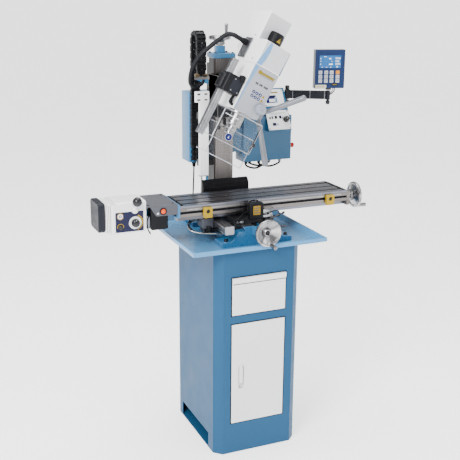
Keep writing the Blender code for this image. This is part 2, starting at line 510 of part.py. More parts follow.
# cable chain: up from the carriage arm, over, and down beside the column
def chain_outline(y0, y1, w, zfront, zback, ztop):
    r = (y1 - y0) / 2
    c = (y0 + y1) / 2
    out = [(c - r * math.cos(math.radians(a)), ztop - r + r * math.sin(math.radians(a))) for a in range(0, 181, 15)]
    inn = [(c - (r - w) * math.cos(math.radians(a)), ztop - r + (r - w) * math.sin(math.radians(a))) for a in range(180, -1, -20)]
    return [(y0, zfront)] + out + [(y1, zback), (y1 - w, zback)] + inn + [(y0 + w, zfront)]


chain = finish(outline_mesh(chain_outline(0.2060, 0.2960, 0.0190, 1.5893, 1.2600, 1.7830), -0.1020, -0.0600, "YZ"),
               "drag_chain", "black_plastic")

# ------------------------------------------------- electrical box and its lead
ebox = finish(box_mesh((-0.1060, 0.2980, 1.1920), (0.0900, 0.3960, 1.5080), 0.003), "rear_electrical_box", "light_blue_paint")
boolean(ebox, box_mesh((XM - 0.0400, COL_BACK + GAP, 1.2500), (XM + 0.0400, 0.3000, 1.4500)), "UNION")
gl = (-0.0720, 0.3300)
gland = finish(turned_mesh([(0.0, -0.0003), (0.0100, -0.0003), (0.0100, -0.0150), (0.0065, -0.0280), (0.0, -0.0280)],
                           (*gl, 1.1920), (0, 0, 1), 16), "box_gland", "black_plastic")
tube("machine_lead", [(*gl, 1.1637), (-0.0740, 0.3320, 1.0800), (-0.0760, 0.3330, 1.0150), (-0.0720, 0.3300, 0.9780),
                      (-0.0640, 0.3190, 0.9630), (-0.0545, 0.3060, 0.9600), (-0.0535, 0.2958, 0.9600)],
     0.0035, "rubber", 40)

# ------------------------------------------------- control box, console, DRO
cbox = finish(box_mesh((0.1230, 0.2100, 1.1920), (0.3660, 0.3000, 1.3960), 0.003), "control_box", "blue_paint")
brk = finish(box_mesh((XM + COL_HALF + GAP, 0.2250, 1.2400), (0.1230 - GAP, 0.2550, 1.3500), 0.002), "control_box_bracket", "blue_paint")
console = finish(outline_mesh([(0.2097, 1.3300), (0.1800, 1.3300), (0.1780, 1.3340), (0.2720, 1.5124), (0.2750, 1.5140),
                               (0.2860, 1.5140), (0.2860, 1.3964), (0.2097, 1.3964)], 0.2350, 0.3515, "YZ"),
                 "console", "blue_paint", smooth=False)
post = (0.3660, 0.2640)
boolean(console, box_mesh((0.3500, post[1] - 0.0100, 1.4300), (post[0] + 0.0100, post[1] + 0.0100, 1.4620)), "UNION")
boolean(console, cyl_mesh((*post, 1.4600), (*post, 1.5200), 0.0060, segs=16), "UNION")

A = math.radians(-30.0)
arm_len = 0.1880
arm = finish(box_mesh((0.0030, -0.0115, 1.4666), (arm_len + 0.0100, -0.0003, 1.5054), 0.0015), "dro_arm", "grey_paint")
boolean(arm, cyl_mesh((0, 0, 1.4660), (0, 0, 1.5060), 0.0130, segs=20), "UNION")
boolean(arm, cyl_mesh((0, 0, 1.4), (0, 0, 1.6), 0.0064, segs=20))
boolean(arm, cyl_mesh((arm_len, -0.0055, 1.4560), (arm_len, -0.0055, 1.5120), 0.0070, segs=16), "UNION")
turn = Matrix.Translation((*post, 0)) @ Matrix.Rotation(A, 4, "Z")
for o in [arm] + [m_.object for m_ in arm.modifiers]:
    o.data.transform(turn)
    o.location = (0, 0, 0)
end = turn @ Vector((arm_len, -0.0055, 1.5123))

disp_yaw = math.radians(-14.0)
disp = finish(box_mesh((-0.0700, -0.0190, 0.0060), (0.0700, 0.0170, 0.1800), 0.003), "dro_display", "grey_paint")
boolean(disp, cyl_mesh((0, 0, 0.0), (0, 0, 0.0080), 0.0090, segs=16), "UNION")
dm = Matrix.Translation(end) @ Matrix.Rotation(disp_yaw, 4, "Z")
for o in [disp] + [m_.object for m_ in disp.modifiers]:
    o.data.transform(dm)
disp.data.transform(Matrix.Translation(-end))
disp.location = end

# dial on the sloping console and the stop button on the control box's side
slope = Vector((0, -(1.4820 - 1.3340), (0.2560 - 0.1780))).normalized()
dc = Vector((0.3310, 0.1780 + 0.078 * 0.30, 1.3340 + 0.148 * 0.30)) + slope * GAP
dial = finish(turned_mesh([(0.0, 0.0180), (0.0105, 0.0175), (0.0120, 0.0150), (0.0145, 0.0030), (0.0145, 0.0), (0.0, 0.0)],
                          dc, slope, 20), "speed_dial", "black_plastic", origin=dc)
sb = Vector((0.3660 + GAP, 0.2350, 1.2510))
stop = finish(turned_mesh([(0.0, 0.0260), (0.0100, 0.0250), (0.0150, 0.0200), (0.0150, 0.0160), (0.0080, 0.0130),
                           (0.0080, 0.0060), (0.0, 0.0060)], sb, (1, 0, 0), 20), "stop_button", "red", origin=sb)
boolean(cbox, cyl_mesh(sb - Vector((0.001, 0, 0)), sb + Vector((0.0015, 0, 0)), 0.0130, segs=20), "UNION")

# --------------------------------------------------------------------- head
head_frame = bpy.data.objects.new("head_frame", None)
head_frame.location = PIVOT
head_frame.rotation_euler = (0, TILT, 0)
PARTS.objects.link(head_frame)
H = head_frame

head = finish(box_mesh((-0.0600, -0.0900, -0.0650), (0.0620, 0.0850, 0.1370), 0.004), "head_body", "white_paint", parent=H)
hood = [(-0.1000, 0.1370), (-0.1040, 0.1500), (-0.1040, 0.2340), (-0.0960, 0.2440), (0.1500, 0.2440), (0.1500, 0.1900),
        (0.0850, 0.1500), (0.0850, 0.1300), (-0.0900, 0.1300)]
boolean(head, outline_mesh(hood, -0.0600, 0.0620, "YZ"), "UNION")
boolean(head, box_mesh((-0.0560, -0.1000, -0.0640), (0.0620, -0.0890, 0.1380), 0.003), "UNION")
boolean(head, cyl_mesh((0, 0.0840, 0), (0, 0.0990, 0), 0.0600, segs=32), "UNION")
boolean(head, cyl_mesh((0, SPINDLE_Y, -0.0700), (0, SPINDLE_Y, 0.1250), 0.0304, segs=28))
boolean(head, cyl_mesh((0, SPINDLE_Y, 0.1000), (0, SPINDLE_Y, 0.2600), 0.0130, segs=20))

cap = finish(turned_mesh([(0.0, 0.2960), (0.0270, 0.2950), (0.0310, 0.2910), (0.0310, 0.2443), (0.0280, 0.2443),
                          (0.0280, 0.2900), (0.0, 0.2900)], (0, SPINDLE_Y, 0), (0, 0, 1), 24), "spindle_cap", "black_plastic", parent=H)

motor_cover = finish(box_mesh((-0.0580, -0.0080, 0.2443), (0.0560, 0.1760, 0.3720), 0.004), "motor_cover", "white_paint", parent=H)
boolean(motor_cover, box_mesh((-0.0540, -0.0040, 0.2400), (0.0520, 0.1720, 0.3680)))
motor = finish(turned_mesh([(0.0, 0.3560), (0.0420, 0.3540), (0.0440, 0.3500), (0.0440, 0.2600), (0.0300, 0.2443), (0.0, 0.2443)],
                           (0, 0.0850, 0), (0, 0, 1), 20), "spindle_motor", "dark_iron", parent=H)

plate = finish(box_mesh((-0.0650, 0.0250, 0.1500), (-0.0603, 0.0900, 0.2400), 0.001), "hose_plate", "grey_paint", parent=H)
boolean(plate, cyl_mesh((-0.0640, 0.0600, 0.2150), (-0.0880, 0.0600, 0.2150), 0.0120, segs=16), "UNION")

M = Matrix.Translation(PIVOT) @ Matrix.Rotation(TILT, 4, "Y")
hose_end = M @ Vector((-0.0888, 0.0600, 0.2150))
out1 = M @ Vector((-0.1150, 0.0600, 0.2150))
tube("head_hose", [(-0.0700, 0.2190, 1.5735), (-0.0705, 0.2185, 1.5650), (-0.0790, 0.2090, 1.5540), (-0.1010, 0.1960, 1.5460),
                   (-0.1260, 0.1880, 1.5560), (-0.1400, 0.1820, 1.5850), (-0.1370, 0.1720, 1.6300), (-0.1150, 0.1500, 1.6800),
                   (-0.0780, 0.1200, 1.7200), (-0.0420, 0.0950, 1.7450), (out1.x - 0.018, out1.y + 0.011, out1.z + 0.008), tuple(out1),
                   tuple(hose_end)],
     0.0100, "rubber", 44)

# chip guard: rail, safety switch, clear shield and its sliding lower part
RAIL = (-0.1200, -0.0325)
rail = finish(outline_mesh([(RAIL[0] - 0.0140, RAIL[1] - 0.0120), (RAIL[0] + 0.0140, RAIL[1] - 0.0120), (RAIL[0] + 0.0140, RAIL[1] + 0.0120),
                            (RAIL[0] + 0.0050, RAIL[1] + 0.0120), (RAIL[0] + 0.0050, RAIL[1] + 0.0020), (RAIL[0] - 0.0050, RAIL[1] + 0.0020),
                            (RAIL[0] - 0.0050, RAIL[1] + 0.0120), (RAIL[0] - 0.0140, RAIL[1] + 0.0120)], -0.2170, 0.1190, "XY"),
              "guard_rail", "aluminium", parent=H, smooth=False)
switch = finish(box_mesh((-0.1380, -0.0860, -0.0170), (-0.0603, -0.0450, 0.0580), 0.004), "guard_switch", "black_plastic", parent=H)
boolean(switch, box_mesh((RAIL[0] + 0.0143, -0.0470, -0.0170), (-0.0603, -0.0100, 0.0580)), "UNION")
boolean(switch, cyl_mesh((*RAIL, -0.0300), (*RAIL, 0.0700), 0.0192, segs=28))


def guard_sheet(z0, z1, front, left, right, t, back_l, back_r):
    """A three-sided shield: left wall, front and right wall, open at the back, top and bottom."""
    return outline_mesh([(left, back_l), (left, front + 0.012), (left + 0.012, front), (right - 0.012, front), (right, front + 0.012),
                         (right, back_r), (right - t, back_r), (right - t, front + 0.013), (right - 0.013, front + t),
                         (left + 0.013, front + t), (left + t, front + 0.013), (left + t, back_l)], z0, z1, "XY")


shield = finish(guard_sheet(-0.2060, -0.0750, -0.1300, -0.1057, 0.0840, 0.0040, -0.0200, -0.0700), "guard_shield", "clear_plastic",
                parent=H, smooth=False)
slider = finish(guard_sheet(-0.2740, -0.1450, -0.1250, -0.1009, 0.0790, 0.0036, -0.0250, -0.0750), "guard_slider", "clear_plastic",
                parent=H, smooth=False)
# fine feed knob on the front, capstan on the right side, quill and spindle
fine = finish(turned_mesh([(0.0, 0.0290), (0.0100, 0.0280), (0.0180, 0.0240), (0.0235, 0.0170), (0.0250, 0.0090), (0.0250, 0.0030),
                           (0.0230, 0.0010), (0.0, 0.0010)], (0.0480, -0.1003, -0.0180), (0, -1, 0), 28), "feed_clutch_knob", "handle_grey",
              parent=H, origin=(0.0480, -0.1003, -0.0180))
hub = Vector(HUB)
cap_ob = finish(turned_mesh([(0.0, 0.0420), (0.0140, 0.0415), (0.0230, 0.0330), (0.0230, 0.0160), (0.0280, 0.0150), (0.0280, 0.0010), (0.0, 0.0010)],
                            hub, (1, 0, 0), 24), "quill_capstan", "handle_grey", parent=H, origin=hub)
hc = hub + Vector((0.0260, 0, 0))
for i in range(3):
    a = HUB_PHASE + i * 2 * math.pi / 3
    d = Vector((math.sin(HUB_SPLAY), -math.sin(a) * math.cos(HUB_SPLAY), math.cos(a) * math.cos(HUB_SPLAY)))
    boolean(cap_ob, cyl_mesh(hc + d * 0.012, hc + d * HUB_REACH, 0.0085, 0.0125, segs=14), "UNION")

quill = finish(turned_mesh([(0.0120, 0.1000), (0.0300, 0.1000), (0.0300, -0.1250), (0.0285, -0.1270), (0.0120, -0.1270), (0.0120, 0.1000)],
                           (0, SPINDLE_Y, 0), (0, 0, 1), 28), "quill", "steel", parent=H, origin=(0, SPINDLE_Y, 0))
spindle = finish(turned_mesh([(0.0, 0.2300), (0.0110, 0.2300), (0.0110, -0.1273), (0.0210, -0.1273), (0.0210, -0.1620), (0.0190, -0.1640), (0.0085, -0.1640),
                              (0.0060, -0.1300), (0.0, -0.1300)], (0, SPINDLE_Y, 0), (0, 0, 1), 24), "spindle", "steel", parent=H,
                 origin=(0, SPINDLE_Y, 0))
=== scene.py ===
import bpy
import bmesh
import math
from mathutils import Vector, Matrix


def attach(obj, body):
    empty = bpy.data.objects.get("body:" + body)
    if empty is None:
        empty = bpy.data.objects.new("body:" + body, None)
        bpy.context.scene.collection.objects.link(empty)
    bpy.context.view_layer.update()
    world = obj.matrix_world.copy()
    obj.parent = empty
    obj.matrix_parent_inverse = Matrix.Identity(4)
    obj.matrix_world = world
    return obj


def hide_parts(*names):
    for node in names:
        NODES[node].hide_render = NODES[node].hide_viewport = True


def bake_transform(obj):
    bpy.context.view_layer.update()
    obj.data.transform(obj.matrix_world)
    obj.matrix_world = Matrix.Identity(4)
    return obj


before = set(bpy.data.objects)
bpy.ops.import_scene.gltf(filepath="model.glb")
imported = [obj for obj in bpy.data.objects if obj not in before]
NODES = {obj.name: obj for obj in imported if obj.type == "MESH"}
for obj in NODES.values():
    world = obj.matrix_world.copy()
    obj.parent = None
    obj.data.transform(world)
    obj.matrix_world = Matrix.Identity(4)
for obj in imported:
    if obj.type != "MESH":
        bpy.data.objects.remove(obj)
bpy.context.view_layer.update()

# ------------------------------------------------------------------ geometry
# The same driving dimensions as the CAD part, in metres.
GAP = 0.0003
CAB_X, CAB_Y, CAB_H, CAB_CH = 0.195, 0.240, 0.9190, 0.033
TRAY_X, TRAY_Y0, TRAY_Y1, TRAY_RIM, TRAY_FLOOR = 0.304, -0.265, 0.345, 0.9460, 0.9235
XM = 0.020
BASE_Y0, BASE_Y1 = -0.177, 0.295
WAY_Z0, WAY_Z1 = 0.9850, 1.0060
YS_Z = 0.9985
YW_Y = -0.2760
TAB_X0, TAB_X1, TAB_Y0, TAB_Y1 = -0.298, 0.490, -0.100, 0.095
TAB_TOP, TAB_UNDER, TAB_BLOCK = 1.0995, 1.0520, 1.0300
XS_Z = 1.0475
COL_FRONT, COL_BACK, COL_TOP, COL_HALF = 0.190, 0.271, 1.665, 0.042
ZS = (XM, 0.2480)
PIVOT = Vector((XM, 0.0, 1.5200))
TILT = math.radians(28.5)
SPY = -0.040
HUB = Vector((0.062, -0.030, -0.0375))
RAIL = (-0.1200, -0.0325)
HM = Matrix.Translation(PIVOT) @ Matrix.Rotation(TILT, 4, "Y")
POST = Vector((0.3660, 0.2640, 0.0))


def temp_object(me):
    o = bpy.data.objects.new("temp", me)
    bpy.context.scene.collection.objects.link(o)
    return o


def to_mesh(bm, name="m"):
    me = bpy.data.meshes.new(name)
    bm.to_mesh(me)
    bm.free()
    return me


def outward(bm):
    bmesh.ops.recalc_face_normals(bm, faces=bm.faces)
    if bm.calc_volume(signed=True) < 0:
        bmesh.ops.reverse_faces(bm, faces=bm.faces[:])


def box(lo, hi):
    bm = bmesh.new()
    lo, hi = Vector(lo), Vector(hi)
    v = [bm.verts.new((x, y, z)) for x in (lo.x, hi.x) for y in (lo.y, hi.y) for z in (lo.z, hi.z)]
    for f in ((0, 1, 3, 2), (4, 6, 7, 5), (0, 4, 5, 1), (2, 3, 7, 6), (0, 2, 6, 4), (1, 5, 7, 3)):
        bm.faces.new([v[i] for i in f])
    outward(bm)
    return to_mesh(bm)


def prism(pts, a, b, plane="XZ"):
    """Outline extruded along the third axis, with whole-face caps."""
    def put(p, t):
        if plane == "XZ":
            return (p[0], t, p[1])
        if plane == "YZ":
            return (t, p[0], p[1])
        return (p[0], p[1], t)
    bm = bmesh.new()
    lo = [bm.verts.new(put(p, a)) for p in pts]
    hi = [bm.verts.new(put(p, b)) for p in pts]
    n = len(pts)
    bm.faces.new(lo)
    bm.faces.new(hi)
    for i in range(n):
        j = (i + 1) % n
        bm.faces.new((lo[i], lo[j], hi[j], hi[i]))
    outward(bm)
    return to_mesh(bm)


def rounded(x0, y0, x1, y1, r, n=5):
    """Rectangle outline with round corners."""
    out = []
    for cx, cy, a0 in ((x1 - r, y1 - r, 0), (x0 + r, y1 - r, 90), (x0 + r, y0 + r, 180), (x1 - r, y0 + r, 270)):
        for i in range(n + 1):
            a = math.radians(a0 + 90 * i / n)
            out.append((cx + r * math.cos(a), cy + r * math.sin(a)))
    return out


def lathe(profile, centre=(0, 0, 0), axis=(0, 0, 1), steps=48, ripple=None):
    """Solid of revolution from (radius, height) points; ripple(i) scales the radius round the turn."""
    bm = bmesh.new()
    rings = []
    for r, h in profile:
        if r < 1e-6:
            rings.append([bm.verts.new((0, 0, h))])
        else:
            rings.append([bm.verts.new((r * k * math.cos(2 * math.pi * i / steps), r * k * math.sin(2 * math.pi * i / steps), h))
                          for i in range(steps) for k in ((ripple(i, r, h) if ripple else 1.0),)])
    for a, b in zip(rings, rings[1:]):
        if len(a) == 1 and len(b) == 1:
            continue
        for i in range(steps):
            j = (i + 1) % steps
            if len(a) == 1:
                bm.faces.new((a[0], b[i], b[j]))
            elif len(b) == 1:
                bm.faces.new((a[i], b[0], a[j]))
            else:
                bm.faces.new((a[i], b[i], b[j], a[j]))
    for ring in (rings[0], rings[-1]):
        if len(ring) > 1 and profile[0] != profile[-1]:
            bm.faces.new(ring)
    if profile[0] == profile[-1]:
        bmesh.ops.remove_doubles(bm, verts=bm.verts, dist=1e-7)
    outward(bm)
    rot = Vector(axis).to_track_quat("Z", "Y").to_matrix().to_4x4()
    bmesh.ops.transform(bm, verts=bm.verts, matrix=Matrix.Translation(centre) @ rot)
    return to_mesh(bm)


def cyl(p0, p1, r0, r1=None, steps=32, round_=0.0):
    p0, p1 = Vector(p0), Vector(p1)
    r1 = r0 if r1 is None else r1
    L = (p1 - p0).length
    c = min(round_, L / 3)
    if c:
        prof = [(0, L), (r1 - c, L), (r1 - 0.3 * c, L - 0.3 * c), (r1, L - c), (r0, c), (r0 - 0.3 * c, 0.3 * c), (r0 - c, 0), (0, 0)]
    else:
        prof = [(0, L), (r1, L), (r0, 0), (0, 0)]
    return lathe(prof, p0, p1 - p0, steps)


def spline(points, count):
    P = [Vector(p) for p in points]
    P = [P[0] * 2 - P[1]] + P + [P[-1] * 2 - P[-2]]
    out = []
    spans = len(P) - 3
    for i in range(count):
        t = i / (count - 1) * spans
        k = min(int(t), spans - 1)
        u = t - k
        a, b, c, d = P[k:k + 4]
        out.append(0.5 * ((2 * b) + (c - a) * u + (2 * a - 5 * b + 4 * c - d) * u * u + (3 * b - a - 3 * c + d) * u ** 3))
    return out


def even(path, step):
    """The path walked in equal steps."""
    out = [path[0].copy()]
    want = step
    for a, b in zip(path, path[1:]):
        L = (b - a).length
        at = 0.0
        while L - at > want:
            at += want
            out.append(a.lerp(b, at / L))
            want = step
        want -= L - at
    if (out[-1] - path[-1]).length > step * 0.2:
        out.append(path[-1].copy())
    return out


def sweep(path, r, segs=14, radius=None, section=None):
    """Round tube, or any closed section, carried along a path without twist."""
    bm = bmesh.new()
    t0 = (path[1] - path[0]).normalized()
    up = Vector((0, 0, 1)) if abs(t0.z) < 0.9 else Vector((1, 0, 0))
    u = t0.cross(up).normalized()
    rings = []
    for i, p in enumerate(path):
        t = (path[min(i + 1, len(path) - 1)] - path[max(i - 1, 0)]).normalized()
        u = (u - t * u.dot(t)).normalized()
        v = t.cross(u)
        k = radius(i) if radius else r
        if section:
            rings.append([bm.verts.new(p + u * a * (k / r) + v * b * (k / r)) for a, b in section])
        else:
            rings.append([bm.verts.new(p + (u * math.cos(2 * math.pi * j / segs) + v * math.sin(2 * math.pi * j / segs)) * k) for j in range(segs)])
    n = len(rings[0])
    for a, b in zip(rings, rings[1:]):
        for j in range(n):
            k = (j + 1) % n
            bm.faces.new((a[j], a[k], b[k], b[j]))
    bm.faces.new(rings[0])
    bm.faces.new(rings[-1])
    outward(bm)
    return to_mesh(bm)


def join(*meshes):
    bm = bmesh.new()
    for m in meshes:
        bm.from_mesh(m)
    return to_mesh(bm)


def moved(me, m):
    me.transform(m)
    return me


def carve(me, *cutters, op="DIFFERENCE"):
    """Boolean of me with each cutter, applied at once."""
    for c in cutters:
        a, b = temp_object(me), temp_object(c)
        m = a.modifiers.new("b", "BOOLEAN")
        m.operation = op
        m.solver = "EXACT"
        m.object = b
        dg = bpy.context.evaluated_depsgraph_get()
        new = bpy.data.meshes.new_from_object(a.evaluated_get(dg))
        bpy.data.objects.remove(a, do_unlink=True)
        bpy.data.objects.remove(b, do_unlink=True)
        me = new
    bm = bmesh.new()
    bm.from_mesh(me)
    bmesh.ops.remove_doubles(bm, verts=bm.verts, dist=2e-6)
    bmesh.ops.dissolve_limit(bm, angle_limit=math.radians(0.5), verts=bm.verts, edges=bm.edges)
    return to_mesh(bm)


def union(me, *others):
    return carve(me, *others, op="UNION")


def piece(name, me, mat, body, reps=(), bevel=0.0, seg=3, angle=32, slot=None, bev_angle=30, M=None):
    if M is not None:
        me.transform(M)
    me.name = name
    me.materials.clear()
    me.materials.append(mat)
    me.shade_smooth()
    me.set_sharp_from_angle(angle=math.radians(angle))
    o = bpy.data.objects.new(name, me)
    bpy.context.scene.collection.objects.link(o)
    if bevel:
        m = o.modifiers.new("edge", "BEVEL")
        m.width = bevel
        m.segments = seg
        m.limit_method = "ANGLE"
        m.angle_limit = math.radians(bev_angle)
        m.harden_normals = True
        m.use_clamp_overlap = True
    if body:
        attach(o, body)
    if reps:
        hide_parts(*reps)
    return o


# ----------------------------------------------------------------- materials
class Mat:
    """A node-built material with a few short words for its nodes."""

    def __init__(s, name):
        s.m = bpy.data.materials.new(name)
        s.m.use_nodes = True
        s.t = s.m.node_tree
        s.b = s.t.nodes["Principled BSDF"]
        s.co = s.t.nodes.new("ShaderNodeTexCoord").outputs["Object"]
        s.bump_in = None

    def set(s, **kw):
        for k, v in kw.items():
            s.b.inputs[k.replace("_", " ")].default_value = v
        return s

    def node(s, kind, **kw):
        n = s.t.nodes.new("ShaderNode" + kind)
        for k, v in kw.items():
            setattr(n, k, v)
        return n

    def link(s, a, b):
        s.t.links.new(a, b)

    def mapped(s, scale=(1, 1, 1), offset=(0, 0, 0), src=None):
        n = s.node("Mapping")
        n.inputs["Scale"].default_value = scale
        n.inputs["Location"].default_value = offset
        s.link(src or s.co, n.inputs["Vector"])
        return n.outputs[0]

    def noise(s, scale, detail=3.0, rough=0.55, vec=None, dims="3D", dist=0.0):
        n = s.node("TexNoise", noise_dimensions=dims)
        n.inputs["Scale"].default_value = scale
        n.inputs["Detail"].default_value = detail
        n.inputs["Roughness"].default_value = rough
        n.inputs["Distortion"].default_value = dist
        if dims == "1D":
            s.link(vec, n.inputs["W"])
        else:
            s.link(vec or s.co, n.inputs["Vector"])
        return n.outputs["Fac"]

    def ramp(s, fac, lo, hi, a=0.0, b=1.0):
        n = s.node("MapRange")
        n.inputs["From Min"].default_value = lo
        n.inputs["From Max"].default_value = hi
        n.inputs["To Min"].default_value = a
        n.inputs["To Max"].default_value = b
        s.link(fac, n.inputs["Value"])
        return n.outputs[0]

    def mix(s, fac, c0, c1, blend="MIX"):
        n = s.node("Mix", data_type="RGBA", blend_type=blend)
        if isinstance(fac, (int, float)):
            n.inputs["Factor"].default_value = fac
        else:
            s.link(fac, n.inputs["Factor"])
        for k, c in (("A", c0), ("B", c1)):
            sock = [i for i in n.inputs if i.name == k and i.type == "RGBA"][0]
            if isinstance(c, (tuple, list)):
                sock.default_value = (*c[:3], 1.0)
            else:
                s.link(c, sock)
        return [o for o in n.outputs if o.type == "RGBA"][0]

    def math(s, op, a, b=None):
        n = s.node("Math", operation=op)
        for i, v in enumerate((a, b)):
            if v is None:
                continue
            if isinstance(v, (int, float)):
                n.inputs[i].default_value = v
            else:
                s.link(v, n.inputs[i])
        return n.outputs[0]

    def bump(s, height, strength, distance):
        n = s.node("Bump")
        n.inputs["Strength"].default_value = strength
        n.inputs["Distance"].default_value = distance
        s.link(height, n.inputs["Height"])
        if s.bump_in:
            s.link(s.bump_in, n.inputs["Normal"])
        s.bump_in = n.outputs[0]
        return s

    def wear(s):
        """Half on flat faces and rising towards edges."""
        n = s.node("Bevel", samples=4)
        n.inputs["Radius"].default_value = 0.0015
        g = s.node("NewGeometry")
        d = s.node("VectorMath", operation="DOT_PRODUCT")
        s.link(n.outputs[0], d.inputs[0])
        s.link(g.outputs["Normal"], d.inputs[1])
        return s.math("SUBTRACT", 1.0, s.math("MULTIPLY", d.outputs["Value"], 0.5))

    def done(s, colour=None, rough=None):
        if colour is not None:
            s.link(colour, s.b.inputs["Base Color"])
        if rough is not None:
            s.link(rough, s.b.inputs["Roughness"])
        if s.bump_in:
            s.link(s.bump_in, s.b.inputs["Normal"])
        return s.m


def shade(c, k):
    return tuple(min(1.0, x * k) for x in c)


def paint(name, c, rough=0.38, peel=0.10, edge=0.30, dirt=0.5, coat=0.15, spec=0.34):
    """Sprayed enamel: fine orange peel, slow colour drift, rubbed edges, faint grime."""
    s = Mat(name).set(Specular_IOR_Level=spec, Coat_Weight=coat, Coat_Roughness=0.18)
    big = s.ramp(s.noise(3.0, 4), 0.3, 0.7)
    col = s.mix(big, shade(c, 0.965), shade(c, 1.03))
    spots = s.ramp(s.noise(150.0, 4, 0.6), 0.66, 0.78)
    col = s.mix(s.math("MULTIPLY", spots, 0.10 * dirt), col, shade(c, 0.6))
    streak = s.ramp(s.noise(9.0, 4, 0.55, s.mapped((1, 1, 0.10))), 0.55, 0.85)
    col = s.mix(s.math("MULTIPLY", streak, 0.10 * dirt), col, shade(c, 0.80))
    worn = s.math("MULTIPLY", s.ramp(s.wear(), 0.53, 0.60), s.ramp(s.noise(60.0, 4), 0.42, 0.66))
    col = s.mix(s.math("MULTIPLY", worn, edge), col, tuple(0.7 * x + 0.16 for x in c))
    s.bump(s.noise(420.0, 2), peel, 0.0004)
    s.bump(s.noise(900.0, 2), peel * 0.4, 0.0002)
    r = s.ramp(s.noise(12.0, 5), 0.3, 0.7, rough - 0.04, rough + 0.06)
    return s.done(col, r)


def cast(name, c, rough=0.42, coat=0.25):
    """Painted casting: lumpy skin under the enamel."""
    s = Mat(name).set(Coat_Weight=coat, Coat_Roughness=0.2, Specular_IOR_Level=0.35)
    col = s.mix(s.ramp(s.noise(6.0, 5), 0.3, 0.7), shade(c, 0.90), shade(c, 1.06))
    col = s.mix(s.math("MULTIPLY", s.ramp(s.noise(45.0, 5), 0.56, 0.78), 0.18), col, shade(c, 0.5))
    worn = s.math("MULTIPLY", s.ramp(s.wear(), 0.53, 0.60), s.ramp(s.noise(70.0, 3), 0.4, 0.62))
    col = s.mix(s.math("MULTIPLY", worn, 0.45), col, tuple(0.6 * x + 0.16 for x in c))
    s.bump(s.noise(85.0, 4, 0.6), 0.22, 0.0012)
    s.bump(s.noise(450.0, 2), 0.12, 0.0003)
    return s.done(col, s.ramp(s.noise(25.0, 4), 0.3, 0.7, rough - 0.07, rough + 0.09))


def brushed(name, c, c2, rough, along="x", metallic=1.0, fine=1.0, stain=0.25):
    """Ground or brushed metal with streaks along one axis, light stains and soft wear."""
    k = {"x": (3, 260, 260), "y": (260, 3, 260), "z": (260, 260, 3)}[along]
    k2 = {"x": (1.2, 34, 34), "y": (34, 1.2, 34), "z": (34, 34, 1.2)}[along]
    s = Mat(name).set(Metallic=metallic)
    fine_n = s.noise(1.0 * fine, 3, 0.6, s.mapped(k))
    wide = s.noise(1.0, 4, 0.55, s.mapped(k2))
    col = s.mix(s.ramp(wide, 0.34, 0.66), c, c2)
    col = s.mix(s.ramp(fine_n, 0.3, 0.7, 0.0, 0.30), col, shade(c, 0.60))
    col = s.mix(s.math("MULTIPLY", s.ramp(s.noise(16.0, 6, 0.65), 0.55, 0.75), stain), col, shade(c, 0.45))
    col = s.mix(s.ramp(s.wear(), 0.54, 0.62, 0.0, 0.5), col, tuple(min(1, x * 0.8 + 0.18) for x in c))
    s.bump(fine_n, 0.10, 0.0004)
    r = s.math("ADD", s.ramp(fine_n, 0.3, 0.7, rough - 0.05, rough + 0.10), s.ramp(wide, 0.3, 0.7, -0.04, 0.05))
    return s.done(col, r)


def turned(name, c, centre, axis, rough=0.24, metallic=1.0):
    """Lathe-turned metal: fine rings about an axis, and painted reflection streaks fanning out from the axis."""
    s = Mat(name).set(Metallic=metallic)
    sub = s.node("VectorMath", operation="SUBTRACT")
    s.link(s.co, sub.inputs[0])
    sub.inputs[1].default_value = centre
    rej = s.node("VectorMath", operation="PROJECT")
    s.link(sub.outputs[0], rej.inputs[0])
    rej.inputs[1].default_value = axis
    per = s.node("VectorMath", operation="SUBTRACT")
    s.link(sub.outputs[0], per.inputs[0])
    s.link(rej.outputs[0], per.inputs[1])
    ln = s.node("VectorMath", operation="LENGTH")
    s.link(per.outputs[0], ln.inputs[0])
    la = s.node("VectorMath", operation="LENGTH")
    s.link(rej.outputs[0], la.inputs[0])
    rad = s.math("ADD", ln.outputs["Value"], s.math("MULTIPLY", la.outputs["Value"], 0.8))
    rings = s.noise(2600.0, 2, 0.5, rad, "1D")
    wide = s.noise(180.0, 3, 0.5, rad, "1D")
    unit = s.node("VectorMath", operation="NORMALIZE")
    s.link(per.outputs[0], unit.inputs[0])
    # painted reflection: darker and lighter wedges round the axis stand in for the streaky sheen of turned metal
    painted_sheen_fan = s.ramp(s.noise(1.7, 2, 0.5, unit.outputs[0]), 0.38, 0.62)
    col = s.mix(painted_sheen_fan, shade(c, 0.38), shade(c, 1.15))
    col = s.mix(s.math("MULTIPLY", s.ramp(rings, 0.3, 0.7), 0.35), col, shade(c, 0.60))
    col = s.mix(s.math("MULTIPLY", s.ramp(s.noise(60.0, 5), 0.5, 0.8), 0.25), col, shade(c, 0.6))
    s.bump(rings, 0.10, 0.0002)
    r = s.math("ADD", s.ramp(rings, 0.3, 0.7, rough - 0.05, rough + 0.08), s.ramp(wide, 0.3, 0.7, -0.03, 0.05))
    return s.done(col, r)


def plastic(name, c, rough=0.45, grain=0.25, scale=700.0, coat=0.0, edge=0.3, lift=0.06, spec=0.26):
    """Moulded plastic: spark-eroded grain, handling marks, lighter rubbed edges."""
    s = Mat(name).set(Coat_Weight=coat * 0.5, Coat_Roughness=0.15, Specular_IOR_Level=spec)
    col = s.mix(s.ramp(s.noise(18.0, 4), 0.3, 0.7), shade(c, 0.85), shade(c, 1.15))
    col = s.mix(s.math("MULTIPLY", s.ramp(s.wear(), 0.53, 0.60), edge), col, tuple(min(1, x * 1.3 + lift) for x in c))
    col = s.mix(s.math("MULTIPLY", s.ramp(s.noise(90.0, 5, 0.7), 0.62, 0.8), 0.2), col, tuple(min(1, x + 0.02) for x in c))
    s.bump(s.noise(scale, 2), grain, 0.0003)
    return s.done(col, s.ramp(s.noise(30.0, 5), 0.3, 0.7, rough - 0.07, rough + 0.10))


